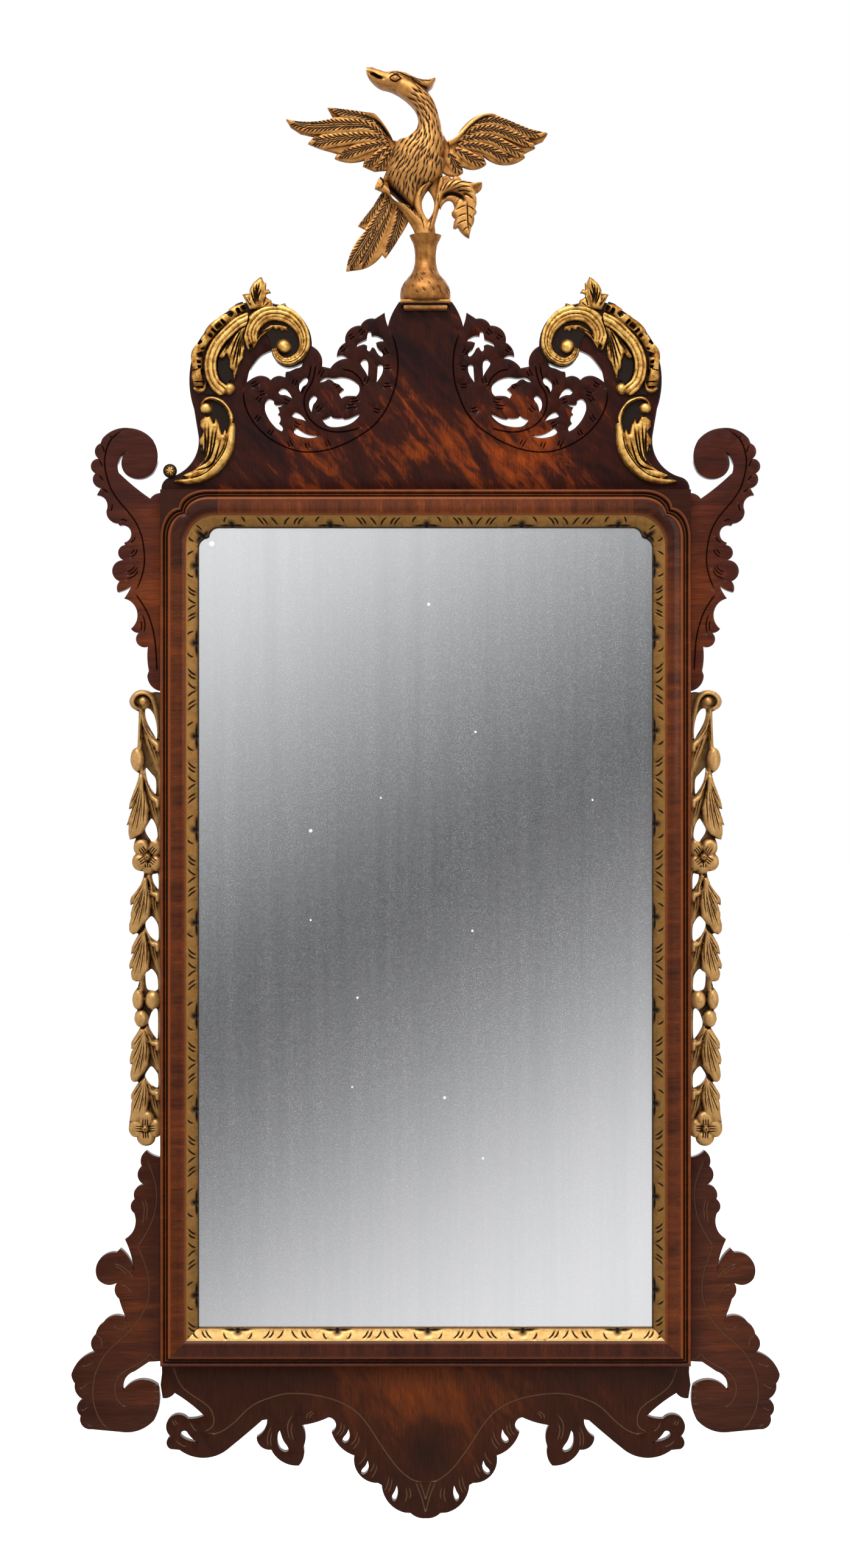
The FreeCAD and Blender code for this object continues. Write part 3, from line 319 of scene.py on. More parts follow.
def rim_guides(loops, reach):
    """Points a little inside the edges, so that a rounded edge has its own row of faces."""
    out = []
    for loop in loops:
        normal = np.roll(loop, -1, axis=0) - np.roll(loop, 1, axis=0)
        normal = np.stack([-normal[:, 1], normal[:, 0]], 1)
        normal /= np.maximum(np.linalg.norm(normal, axis=1), 1e-9)[:, None]
        out += [loop + normal * r for r in (reach, -reach, reach * 0.35, -reach * 0.35)]
    return np.vstack(out)


# Sampling of carved fronts: height of a row of the grid, longest edge, closest points.
ROW_PITCH = 0.87
LONGEST_EDGE = 4
CLOSEST = 0.45


def carved(name, loops, back, carving, pitch, material, replaced, smooth=50, wrap=None, rows=None):
    """A closed piece whose front is the carving over the outline and whose back is flat."""
    loops = [resampled(loop, min(pitch * 1.5, LONGEST_EDGE)) for loop in loops]
    lo, hi = loops[0].min(0), loops[0].max(0)
    levels = np.arange(lo[1], hi[1], rows or pitch * ROW_PITCH)
    grid = np.array([(x + (i % 2) * pitch / 2, z) for i, z in enumerate(levels)
                     for x in np.arange(lo[0], hi[0], pitch)])
    spots = np.vstack([carving.guides(), rim_guides(loops, carving.reach), grid])
    cell = CLOSEST * min(pitch, 1.0)
    _, first = np.unique(np.round(spots / cell).astype(int), axis=0, return_index=True)
    spots = spots[np.sort(first)]
    spots = spots[inside(loops, spots)]
    spots = spots[edge_distance(loops, spots) > cell * 0.6]
    edges, start = [], 0
    for loop in loops:
        edges += [(start + i, start + (i + 1) % len(loop)) for i in range(len(loop))]
        start += len(loop)
    verts = [Vector(p) for p in np.vstack([*loops, spots])]
    flat, _, faces, *_ = delaunay_2d_cdt(verts, edges, [], 0, 1e-5)
    flat = np.array([tuple(p) for p in flat])
    faces = np.array(faces)
    faces = faces[inside(loops, flat[faces].mean(1))]
    height, dirt = carving.heights(loops, flat)
    sides = open_edges(faces.tolist())
    rim = sorted({v for edge in sides for v in edge})
    order = {v: i for i, v in enumerate(rim)}
    rim_edges = [(order[a], order[b]) for a, b in sides]
    _, _, behind, *_ = delaunay_2d_cdt([Vector(flat[v]) for v in rim], rim_edges, [], 0, 1e-5)
    behind = np.array(behind)
    behind = behind[inside(loops, flat[rim][behind].mean(1))]
    count = len(flat)
    polygons = faces.tolist()
    polygons += [(b, a, count + order[a], count + order[b]) for a, b in sides]
    polygons += (count + behind[:, ::-1]).tolist()
    points = np.vstack([flat, flat[rim]])
    heights = np.concatenate([height, np.zeros(len(rim))])
    if wrap is None:
        spread = np.column_stack([points[:, 0], back - heights, points[:, 1]])
    else:
        spread = wrap(points, heights)
    # Per vertex: darkening of cuts and ground (dirt and painted shade), and the height share that lightens
    # raised gilding (rubbed leaf and painted highlight).
    shade = np.concatenate([dirt, np.zeros(len(rim))])
    mesh = mesh_of(name, spread, polygons, dirt=shade, level=heights / heights.max())
    add_piece(name, mesh, material, replaced, smooth)


class Shader:
    """A procedural material on object coordinates, which are the CAD frame's metres."""

    def __init__(self, name, **sockets):
        self.material = bpy.data.materials.new(name)
        self.material.use_nodes = True
        self.tree = self.material.node_tree
        self.bsdf = self.tree.nodes["Principled BSDF"]
        for socket, value in sockets.items():
            self.bsdf.inputs[socket.replace("_", " ")].default_value = value
        self.place = self.tree.nodes.new("ShaderNodeTexCoord").outputs["Object"]

    def put(self, socket, value):
        if isinstance(value, bpy.types.NodeSocket):
            self.tree.links.new(value, socket)
        else:
            socket.default_value = value

    def out(self, socket, value):
        self.put(self.bsdf.inputs[socket], value)

    def node(self, kind, inputs=(), **settings):
        made = self.tree.nodes.new("ShaderNode" + kind)
        for setting, value in settings.items():
            setattr(made, setting, value)
        for socket, value in dict(inputs).items():
            self.put(made.inputs[socket], value)
        return made

    def math(self, operation, a, b):
        return self.node("Math", {0: a, 1: b}, operation=operation).outputs[0]

    def mix(self, factor, a, b, blend="MIX"):
        made = self.node("Mix", {0: factor, 6: a, 7: b}, data_type="RGBA", blend_type=blend)
        return made.outputs[2]

    def ramp(self, factor, *stops, smooth="LINEAR"):
        made = self.node("ValToRGB", {0: factor})
        made.color_ramp.interpolation = smooth
        elements = made.color_ramp.elements
        while len(elements) < len(stops):
            elements.new(0.5)
        for element, (position, colour) in zip(elements, stops):
            element.position = position
            element.color = colour if isinstance(colour, tuple) else (colour, colour, colour, 1)
        return made.outputs[0]

    def mapped(self, squash=(1, 1, 1), turn=(0, 0, 0), shift=(0, 0, 0)):
        turned = self.node("Mapping", {0: self.place, 1: shift, 2: turn}).outputs[0]
        return self.node("VectorMath", {0: turned, 1: squash}, operation="MULTIPLY").outputs[0]

    def noise(self, scale, squash=(1, 1, 1), turn=(0, 0, 0), shift=(0, 0, 0), detail=3.0, rough=0.55,
              bend=0.0):
        sockets = {"Vector": self.mapped(squash, turn, shift), "Scale": scale, "Detail": detail}
        sockets.update({"Roughness": rough, "Distortion": bend})
        return self.node("TexNoise", sockets).outputs[0]

    def shade(self, name):
        return self.node("Attribute", attribute_name=name).outputs["Fac"]

    def patch(self, centre, size, soft=1.0):
        """1 at the centre, fading to 0 at an ellipsoid's surface."""
        away = self.node("VectorMath", {0: self.place, 1: centre}, operation="SUBTRACT").outputs[0]
        shrink = tuple(1 / s for s in size)
        scaled = self.node("VectorMath", {0: away, 1: shrink}, operation="MULTIPLY").outputs[0]
        length = self.node("VectorMath", {0: scaled}, operation="LENGTH").outputs["Value"]
        return self.node("MapRange", {0: length, 1: 1.0 - soft, 2: 1.0, 3: 1.0, 4: 0.0}).outputs[0]

    def bump(self, height, strength, distance):
        made = self.node("Bump", {"Height": height, "Strength": strength, "Distance": distance})
        self.out("Normal", made.outputs[0])


def mahogany(name, grain, tones, patches=(), figure=14.0, lean=0.5, cut=rgb(18, 8, 6), base=0.5, contrast=1.0,
             stretch=0.3):
    """Polished mahogany: fibres along the grain, pores, leaning figure, patches, cuts in the cut colour
    (painted shade where it is dark, painted highlight where it is pale), edges lighter from rubbed polish and
    painted highlight.
    """
    s = Shader(name, Specular_IOR_Level=0.06, Coat_Weight=0.12, Coat_Roughness=0.08)
    dark, mid, light = tones
    fine = {"x": (0.05, 1, 1), "z": (1, 1, 0.05)}[grain]
    broad = {"x": (stretch, 1, 1), "z": (1, 1, stretch)}[grain]
    flame = s.noise(figure, broad, (0, lean, 0), detail=4, rough=0.6, bend=1.2)
    streak = s.noise(figure * 6, broad, (0, lean, 0), (0.3, 0, 0.1), detail=3, rough=0.6, bend=0.6)
    fibre = s.noise(950, fine, detail=2)
    pores = s.noise(1700, fine, shift=(0.2, 0.1, 0.3), detail=1)
    figured = s.math("MULTIPLY", flame, 0.62 * contrast)
    tone = s.math("ADD", figured, s.math("MULTIPLY", streak, 0.38 * contrast))
    tone = s.math("ADD", tone, base - 0.5 * contrast)
    for centre, size, strength in patches:
        spot = s.math("MULTIPLY", s.patch(centre, size), strength)
        tone = s.math("ADD", tone, spot)
    colour = s.ramp(tone, (0.34, dark), (0.52, mid), (0.78, light))
    colour = s.mix(0.55, colour, s.ramp(fibre, (0.3, 0.35), (0.7, 0.78)), "OVERLAY")
    colour = s.mix(s.ramp(pores, (0.62, 0.0), (0.72, 0.55)), colour, dark)
    # Rubbed polish and painted highlight: lighter on the moulding's beads and arris, where the lamps' gloss
    # would catch.
    colour = s.mix(s.ramp(s.shade("worn"), (0.0, 0.0), (1.0, 0.75)), colour, light)
    # Painted shade in the cuts and grooves; with the pale cut colour of the lower ears and the apron, painted
    # highlight on the gouges' walls.
    colour = s.mix(s.ramp(s.shade("dirt"), (0.1, 0.0), (0.75, 1.0)), colour, cut)
    s.out("Base Color", colour)
    s.out("Roughness", s.ramp(streak, (0.3, 0.34), (0.7, 0.24)))
    s.bump(s.math("ADD", fibre, s.math("MULTIPLY", pores, 0.5)), 0.10, 0.0006)
    return s.material


def gilding(name, high, body, low, recess, wear=0.5, rubbed=0.0):
    """Old leaf: raised parts lighter (rubbed leaf and painted highlight), painted shade in the hollows, dirt
    and painted shade in the cuts and on the ground, red ground in patches.
    """
    s = Shader(name, Specular_IOR_Level=0.12)
    worn = s.noise(130, detail=5, rough=0.65)
    fleck = s.noise(900, detail=3, rough=0.6)
    # Painted shade: ambient occlusion darkens the leaf's colour in hollows and corners.
    hollow = s.node("AmbientOcclusion", {"Distance": 0.006}, samples=6, only_local=True).outputs["AO"]
    tone = s.math("ADD", s.math("MULTIPLY", hollow, 0.70), rubbed)
    # Raised parts lighter by their height share: rubbed leaf and painted highlight.
    tone = s.math("ADD", tone, s.math("MULTIPLY", s.shade("level"), 0.26))
    tone = s.math("ADD", tone, s.math("MULTIPLY", s.math("SUBTRACT", worn, 0.5), wear))
    colour = s.ramp(tone, (0.30, recess), (0.50, low), (0.72, body), (0.96, high))
    bole = s.ramp(s.math("ADD", worn, s.math("MULTIPLY", fleck, 0.3)), (0.74, 0.0), (0.86, 0.5))
    colour = s.mix(bole, colour, rgb(92, 44, 22))
    # Cuts and the ground take the recess colour and lose their metal: dirt and painted shade.
    dirt = s.ramp(s.shade("dirt"), (0.05, 0.0), (0.8, 1.0))
    s.out("Base Color", s.mix(dirt, colour, recess))
    s.out("Metallic", s.math("MULTIPLY", s.math("SUBTRACT", 1.0, dirt), LEAF_METAL))
    shine = s.ramp(fleck, (0.3, LEAF_ROUGH - 0.08), (0.7, LEAF_ROUGH + 0.14))
    s.out("Roughness", s.math("ADD", shine, s.math("MULTIPLY", dirt, 0.3)))
    s.bump(fleck, 0.2, 0.0004)
    return s.material


def pine(name, grain):
    """Aged softwood: growth lines along the grain, a brown bloom of age, knots of darker tone."""
    s = Shader(name, Specular_IOR_Level=0.3)
    broad = {"x": (0.04, 1, 1), "z": (1, 1, 0.04)}[grain]
    rings = s.noise(150, broad, detail=3, rough=0.6, bend=0.8)
    fibre = s.noise(900, broad, detail=2)
    age = s.noise(9, detail=4)
    colour = s.ramp(rings, (0.32, rgb(112, 76, 45)), (0.5, rgb(158, 116, 74)), (0.68, rgb(178, 138, 94)))
    colour = s.mix(0.45, colour, s.ramp(fibre, (0.3, 0.38), (0.7, 0.62)), "OVERLAY")
    colour = s.mix(s.ramp(age, (0.42, 0.0), (0.7, 0.6)), colour, rgb(92, 62, 38))
    s.out("Base Color", colour)
    s.out("Roughness", s.ramp(fibre, (0.3, 0.62), (0.7, 0.8)))
    s.bump(s.math("ADD", rings, fibre), 0.25, 0.0005)
    return s.material


def metal(name, bright, dull, rough):
    """A plain fitting with tarnish in patches and fine rubbing marks."""
    s = Shader(name, Metallic=1.0)
    tarnish = s.noise(170, detail=4)
    rub = s.noise(1500, (1, 1, 0.15), detail=2)
    s.out("Base Color", s.ramp(tarnish, (0.36, dull), (0.62, bright)))
    s.out("Roughness", s.ramp(rub, (0.3, rough), (0.7, rough + 0.2)))
    s.bump(rub, 0.12, 0.0003)
    return s.material


# Spots where the silver has gone: x, z and half width.
LOST_SILVER = [(-201, 361, 3.2), (-108, 91, 2.0), (3, 304, 1.8), (47, 184, 1.4), (-25, 376, 1.4),
               (69, 376, 1.8), (-42, 122, 1.2), (-64, -66, 1.4), (44, -3, 1.4), (18, -160, 1.8),
               (54, -217, 1.5), (-69, -150, 1.2), (157, 120, 1.2), (-108, 7, 1.2)]


def old_mirror():
    """Silvered plate: fine haze, faint upright streaks, white specks where the silver has gone."""
    s = Shader("old_mirror", Specular_IOR_Level=0.5)
    streak = s.noise(75, (1, 1, 0.02), detail=4, rough=0.7)
    grit = s.noise(1300, detail=2)
    base = s.ramp(streak, (0.3, rgb(239, 240, 241)), (0.7, rgb(246, 246, 247)))
    specks = 0.0
    for scale, radius, kept, shift in ((60, 0.035, 0.84, 0.4), (190, 0.10, 0.84, 0.7), (420, 0.2, 0.8, 0.2)):
        at = s.mapped((1, 0, 1), shift=(shift, 0, shift))
        cells = s.node("TexVoronoi", {"Vector": at, "Scale": scale}, feature="F1")
        near = s.math("LESS_THAN", cells.outputs["Distance"], radius)
        pick = s.node("SeparateColor", {0: cells.outputs["Color"]}).outputs[0]
        specks = s.math("MAXIMUM", specks, s.math("MULTIPLY", near, s.math("GREATER_THAN", pick, kept)))
    specks = s.math("MULTIPLY", specks, 0.16)
    for x, z, half in LOST_SILVER:
        spot = s.patch((x * MM, 0, z * MM), (half * MM, 1, half * MM), soft=0.4)
        specks = s.math("MAXIMUM", specks, s.math("MULTIPLY", spot, 0.85))
    haze = s.math("MULTIPLY", s.ramp(grit, (0.50, 0.0), (0.70, 0.30)), s.ramp(streak, (0.3, 0.6), (0.7, 1.0)))
    veil = s.math("MAXIMUM", specks, haze)
    s.out("Base Color", s.mix(veil, base, rgb(225, 228, 230)))
    s.out("Metallic", s.math("SUBTRACT", 1.0, veil))
    s.out("Roughness", s.math("ADD", 0.03, s.math("MULTIPLY", veil, 0.5)))
    return s.material


# Materials.
FRAME_TONES = (rgb(46, 20, 11), rgb(86, 40, 17), rgb(140, 70, 25))
FRAME_CORNERS = [((x * MM, -0.03, HALF_HEIGHT * MM), (0.11, 0.1, 0.11), -0.2)
                 for x in (-HALF_WIDTH, HALF_WIDTH)]
FRAME_LOOK = {"lean": 0.03, "stretch": 0.06, "contrast": 0.7, "cut": rgb(10, 6, 5)}
EAR_LOOK = {"figure": 40, "lean": 0.05, "contrast": 0.5, "stretch": 0.08}
WOOD = {
    "crest": mahogany("mahogany_crest", "z", (rgb(24, 7, 6), rgb(50, 17, 8), rgb(156, 66, 12)),
                      [((0.005, -0.016, 0.45), (0.19, 0.1, 0.085), 0.16)], figure=22, lean=0.7, base=0.43),
    "ear_upper": mahogany("mahogany_upper_ears", "x", (rgb(32, 13, 11), rgb(62, 27, 18), rgb(124, 58, 22)),
                          [((x, -0.016, 0.31), (0.055, 0.1, 0.13), 0.2) for x in (-0.245, 0.245)],
                          base=0.47, **EAR_LOOK),
    # The lower ears' and the apron's pale cut colour is painted highlight on the walls of their gouges.
    "ear_lower": mahogany("mahogany_lower_ears", "x", (rgb(38, 17, 11), rgb(66, 31, 17), rgb(120, 58, 22)),
                          [((x, -0.016, -0.36), (0.06, 0.1, 0.14), 0.14) for x in (-0.275, 0.275)],
                          base=0.43, cut=rgb(104, 76, 58), **EAR_LOOK),
    "apron": mahogany("mahogany_apron", "z", (rgb(30, 12, 5), rgb(54, 22, 7), rgb(130, 59, 10)),
                      [((0, -0.016, -0.435), (0.13, 0.1, 0.085), 0.16),
                       ((0.004, -0.016, -0.49), (0.03, 0.1, 0.035), -0.16)],
                      figure=26, lean=0.5, contrast=0.35, base=0.47, cut=rgb(112, 84, 64)),
    "stile": mahogany("mahogany_stiles", "x", FRAME_TONES, FRAME_CORNERS, figure=48, base=0.47,
                      **FRAME_LOOK),
    "top": mahogany("mahogany_top_rail", "z", FRAME_TONES, FRAME_CORNERS, figure=48, **FRAME_LOOK),
    "bottom": mahogany("mahogany_bottom_rail", "z", (rgb(38, 16, 11), rgb(62, 28, 16), rgb(98, 46, 20)),
                       figure=40, **FRAME_LOOK),
    "corner": mahogany("mahogany_corners", "x", FRAME_TONES, FRAME_CORNERS, figure=30, lean=0.6,
                       contrast=0.5, cut=rgb(10, 6, 5), base=0.44),
}
SCROLL_GOLD = gilding("scroll_gold", rgb(240, 196, 112), rgb(138, 88, 28), rgb(74, 42, 15), rgb(26, 15, 9),
                      wear=0.8, rubbed=-0.09)
FINIAL_GOLD = gilding("finial_gold", rgb(196, 142, 78), rgb(128, 80, 36), rgb(76, 42, 20), rgb(22, 12, 8))
GARLAND_GOLD = gilding("garland_gold", rgb(194, 151, 94), rgb(128, 89, 46), rgb(76, 48, 25), rgb(28, 17, 10))
SLIP_GOLD = gilding("slip_gold", rgb(138, 100, 51), rgb(92, 62, 29), rgb(58, 38, 19), rgb(16, 10, 7))
# A lighter copy of the slip gold: painted light, for the bottom run whose upturned face catches the top
# light.
SLIP_GOLD_PAINTED_LIT = gilding("slip_gold_painted_lit", rgb(216, 174, 110), rgb(160, 116, 62), rgb(96, 64, 33),
                      rgb(24, 15, 10))
PINE_UP, PINE_ACROSS = pine("pine_upright", "z"), pine("pine_across", "x")
BRASS = metal("old_brass", rgb(196, 156, 84), rgb(124, 88, 42), 0.28)
STEEL = metal("old_steel", rgb(168, 166, 162), rgb(98, 92, 86), 0.34)
IRON = metal("nail_iron", rgb(96, 88, 82), rgb(58, 44, 36), 0.5)
MIRROR = old_mirror()

# Kept nodes and their finishes; the carved and moulded ones are replaced below.
KEPT = {
    "mirror_plate": MIRROR, "finial_dowel": PINE_UP, "backboard_nails": IRON, "hanger_screws": STEEL,
    "carcass_rail_top": PINE_ACROSS, "carcass_rail_bottom": PINE_ACROSS, "apron_battens": PINE_UP,
    "ear_battens": PINE_ACROSS, "plate_blocks": PINE_UP, "backboard": PINE_UP,
}
KEPT.update({f"carcass_stile_{side}": PINE_UP for side in ("left", "right")})
KEPT.update({f"crest_batten_{side}": PINE_UP for side in ("left", "right", "centre")})
KEPT.update({f"hanger_{part}_{side}": BRASS for part in ("strap", "ring") for side in ("left", "right")})
for node, finish in KEPT.items():
    NODES[node].data.materials.clear()
    NODES[node].data.materials.append(finish)


# Fretted boards with their incised lines, given for the left half.
EAR_LINES = {
    "ear_upper": [[(-283.5, 469.7), (-290.9, 465.3), (-296.8, 459.4), (-300.4, 452), (-302.4, 443.2),
                   (-302.4, 434.4), (-300.4, 424.1), (-296.5, 413.1), (-289.4, 402), (-280.6, 391.8),
                   (-273.2, 381.5), (-268.1, 369.7), (-265.6, 356.5), (-265.1, 343.2), (-267.4, 331.5),
                   (-271, 321.9), (-274.4, 315)],
                  [(-274.4, 315), (-268.1, 306.5), (-262.2, 296.2), (-258.5, 285.9), (-256, 275.6),
                   (-254.6, 265.3), (-253, 240)]],
    "ear_lower": [[(-262.5, -219.8), (-257.6, -232.9), (-254.3, -246.1), (-254.6, -262.6), (-258.4, -277.4),
                   (-265.8, -292.2), (-271.6, -300.5)],
                  [(-271.6, -300.5), (-267.5, -310.4), (-262.5, -325.2), (-260.9, -340), (-262.5, -353.2),
                   (-268.3, -366.4), (-279, -380.4), (-290.5, -391.1), (-301.2, -401.8), (-308.6, -414.1),
                   (-312.8, -427.3), (-313.6, -442.1), (-311.1, -455.3), (-305.4, -466.8),
                   (-297.9, -474.7)],
                  [(-251, -409), (-255.9, -406.7), (-260.1, -401.8)],
                  [(-260.1, -401.8), (-264.2, -407.2), (-274.1, -413.3), (-285.6, -419.9), (-291.4, -427.3),
                   (-293, -435.5), (-291.4, -443.8), (-286.4, -450.4), (-281.5, -452)]],
}
APRON_LINES = [
    [(-237.4, -415.5), (-235.1, -423.4), (-229.8, -433.3), (-219.8, -441.7), (-209.1, -448.6),
     (-202.2, -455.5), (-199.6, -464.6), (-201.5, -471.5), (-208.4, -476.1)],
    [(-208.4, -476.5), (-198.4, -477.6), (-189.2, -473.8), (-178.5, -465.4), (-169.4, -456.2),
     (-160.2, -449.4), (-147.9, -444.3), (-134.2, -440.6), (-120.4, -439.9), (-105.1, -441.4),
     (-88.3, -445.1), (-74.5, -450.9), (-63.8, -458.5), (-54.6, -469.2), (-45.5, -483), (-36.3, -496.8),
     (-25.6, -510.5), (-14.9, -519.7), (-7.2, -522.8), (0, -523.1)],
    [(-9, -524), (-4, -537), (0, -552)], [(-5, -524), (-2.2, -532), (0, -540)],
]
CREST_LINES = [
    [(-34.8, 566.8), (-30.9, 557.6), (-27.1, 543.8), (-26, 528.5), (-27.9, 513.2), (-31.7, 501),
     (-37.8, 487.2), (-48.5, 473.5), (-60.8, 464.3), (-74.5, 456.6), (-89.8, 450.8), (-105.1, 448.2),
     (-120.4, 449), (-135.7, 454.4), (-149.5, 462.8), (-160.2, 473.5), (-167.1, 484.2), (-171.2, 496.4),
     (-171.2, 507.1), (-168.6, 513.2)],
    [(-103.6, 533.1), (-104.4, 523.9), (-107.4, 513.2), (-112.8, 504), (-114.6, 494.9), (-112, 484.2),
     (-105.1, 475), (-94.4, 468.9), (-82.2, 466.9), (-68.4, 468.9), (-59.2, 472.2)],
    [(-108, 530), (-109.4, 521.5), (-112.6, 512.5), (-117.4, 503)],
    [(-79, 526), (-70.5, 524.4), (-62.5, 518), (-58, 509)],
]
# Openings of the crest's left half: smooth runs that meet at sharp tips.
CREST_HOLES = [
    [[(-166, 525), (-161, 533), (-155, 539.5), (-148, 543.2), (-145.2, 544)],
     [(-143.5, 538), (-138.5, 531.8), (-131, 528.4), (-124, 529), (-115.4, 532.6)],
     [(-117.5, 528.6), (-122.5, 527), (-128, 524.5), (-131.6, 523.6), (-132.4, 518.8)],
     [(-138, 520.2), (-143, 518.8), (-146, 516.3)],
     [(-150, 519.2), (-156, 520.3), (-162, 518.5), (-168.5, 514.3)]],
    [[(-51.8, 561.6), (-51, 558)], [(-46, 557.8), (-41.5, 555.5), (-39.5, 552.8)],
     [(-43, 552.6), (-46.8, 551.3)],
     [(-45.5, 546.5), (-41.5, 542.5), (-40.3, 539.4), (-42, 538.4), (-45, 541), (-48, 546), (-50.5, 547.2)],
     [(-51.8, 544.5), (-53.2, 543.3), (-55, 544.8), (-54.8, 548.5)],
     [(-58, 549.8), (-62, 548.8), (-65, 547.5)],
     [(-63, 551), (-59, 553.2), (-55.5, 555), (-54.6, 559), (-53.8, 561.6)]],
    [[(-57, 524.5), (-60, 529), (-61, 532), (-58.6, 535.4), (-55.6, 534.6), (-54, 530), (-54.4, 519.8)]],
    [[(-45.6, 519), (-45.2, 525), (-44.6, 529.6), (-42, 530.6), (-40.2, 528.4), (-40.6, 523.4),
      (-43, 518.5), (-46, 514.3)]],
    [[(-97.6, 516.8), (-93.5, 518.5), (-86.5, 518), (-79.4, 518.9), (-72.9, 517.9), (-67.4, 515.2),
      (-63.6, 511.9), (-62.3, 507.6), (-63.1, 503.8), (-65.3, 501.1)],
     [(-70, 501.3), (-75, 501), (-79.4, 498.9)], [(-81, 502.2), (-79.9, 504.9), (-77, 507.6)],
     [(-79.6, 509.6), (-81.5, 511.9), (-85.9, 513.6)],
     [(-89.1, 516.3), (-92.4, 516.8), (-95.1, 515), (-99.4, 513.9)]],
    [[(-109.4, 490), (-109.6, 495), (-107.6, 499.8), (-104.8, 501.3), (-102.4, 499), (-103.4, 496),
      (-106, 492.5), (-107.6, 486)]],
    [[(-64, 480.5), (-70, 475.5), (-78, 472.6), (-87, 471.8), (-93, 473.5), (-97.6, 478.7)],
     [(-94.5, 479.5), (-91, 481.2), (-89.2, 483)], [(-88, 481), (-83, 480), (-78, 480.4)],
     [(-76.8, 479.3), (-72, 480), (-66, 482.6), (-61.8, 484.2)]],
    [[(-117, 479), (-122, 480.2), (-125.6, 482), (-123.5, 485.5), (-120.5, 485.2), (-116.5, 482.4),
      (-112.9, 477.5)]],
    [[(-104, 462.2), (-110, 461.5), (-117, 462.6), (-122, 464.6), (-124, 467.2), (-121.8, 470.6),
      (-117, 467.8), (-112, 465.2), (-106, 463.9), (-100, 463.8)]],
    [[(-135.6, 491.6), (-139.4, 490.4)], [(-137.8, 486), (-139.4, 483.6)],
     [(-137.4, 482), (-136.8, 478), (-138.2, 475.2)], [(-135.6, 472.6), (-134.5, 469.8), (-135.6, 467.7)],
     [(-141, 471), (-147, 478), (-150.8, 486), (-151.3, 492), (-149.6, 497), (-147, 498.3), (-143.6, 496.8),
      (-142.8, 493.6)],
     [(-140.8, 492.6), (-134.6, 493)]],
    [[(-129, 500.6), (-132.5, 502), (-136.4, 502.3), (-138.4, 504.6), (-136, 507.9), (-132, 507.6),
      (-128.4, 503.6), (-125.9, 498.9)]],
    [[(-119.2, 508.5), (-118.4, 513.5), (-115.4, 517.2), (-112.4, 518.4), (-110.9, 516), (-112.4, 512.4),
      (-116, 509.4), (-118, 505)]],
]
# Small paired gouges: middle, direction in degrees, length.
CREST_NICKS = [
    (-161, 512, 30, 9), (-154, 503.5, 15, 8), (-157, 498, 55, 7), (-158, 480, 55, 9), (-146, 466.5, 62, 8),
    (-127.5, 456, 115, 9), (-111, 454.6, 110, 8), (-92, 456.5, 118, 9), (-46, 487.6, 165, 9),
    (-36, 511, 2, 9), (-36, 528, 5, 8), (-60, 561.5, 48, 9), (-69.5, 557, 35, 7), (-78, 545, 40, 8),
    (-98.5, 522.5, 62, 10), (-100.5, 489, 45, 9), (-70, 491, 8, 12), (-67, 497, 14, 10),
    (-84, 510.5, 40, 6), (-55.5, 516, 72, 8), (-123, 514, 70, 8), (-131, 496, 160, 7), (-121, 474, 150, 8),
    (-38, 543, 120, 9), (-66, 512, 110, 8),
]
# Single gouges of the ears and the apron's left half, each along a short curve.
EAR_GOUGES = {
    "ear_upper": [[(-298.5, 464), (-295.6, 461), (-294, 459)],
                  [(-306.5, 455.5), (-303.6, 451), (-303.2, 446)],
                  [(-309, 441.5), (-306.2, 438), (-304.6, 433)],
                  [(-309, 427), (-305.6, 423.5), (-303.6, 420)],
                  [(-306, 414), (-301.4, 411.5), (-299, 408.5)],
                  [(-296, 401), (-295.6, 396), (-297.6, 391)],
                  [(-289, 382.5), (-285, 384.4), (-280, 381.5)],
                  [(-273.5, 369.5), (-275.2, 365), (-280, 361.8)], [(-274, 358), (-276, 354), (-279, 351)],
                  [(-271.5, 359), (-273.6, 352), (-280, 347.8)], [(-273, 343), (-277, 337), (-284, 334.5)],
                  [(-271, 342), (-275, 335), (-283, 331.5)], [(-270, 340), (-274, 331.8), (-285, 326.8)],
                  [(-268.5, 298), (-265.6, 291), (-264.6, 283), (-266.5, 274)],
                  [(-269, 291), (-267.6, 284), (-269, 277)]],
    "ear_lower": [[(-265, -255), (-262.6, -265), (-263.5, -277)],
                  [(-268, -256), (-265.4, -265), (-267, -281)],
                  [(-295, -317.5), (-288, -319), (-280, -325), (-275, -332)],
                  [(-293, -320), (-287, -322.6), (-281.4, -328)],
                  [(-288, -337), (-282, -339), (-277, -345)],
                  [(-294.5, -375), (-289, -379), (-281, -377.5)],
                  [(-311, -384.6), (-306.4, -388), (-304.6, -396)],
                  [(-325, -413.5), (-320, -413.6), (-313, -410.6)],
                  [(-327, -434.5), (-324, -434.4), (-318.5, -430.6)],
                  [(-325, -456), (-321.6, -455), (-318.5, -452.5)],
                  [(-319, -469), (-316.5, -470), (-314, -470.4)],
                  [(-256.5, -431.6), (-253.6, -432.2), (-251.6, -432)],
                  [(-256, -437.6), (-253.4, -438), (-251.4, -437.6)],
                  [(-255.4, -443), (-253.4, -443.6), (-251.4, -443.6)],
                  [(-256, -449), (-254, -449.4), (-251.8, -449)],
                  [(-256, -455), (-254, -455.8), (-252.4, -456)]],
}
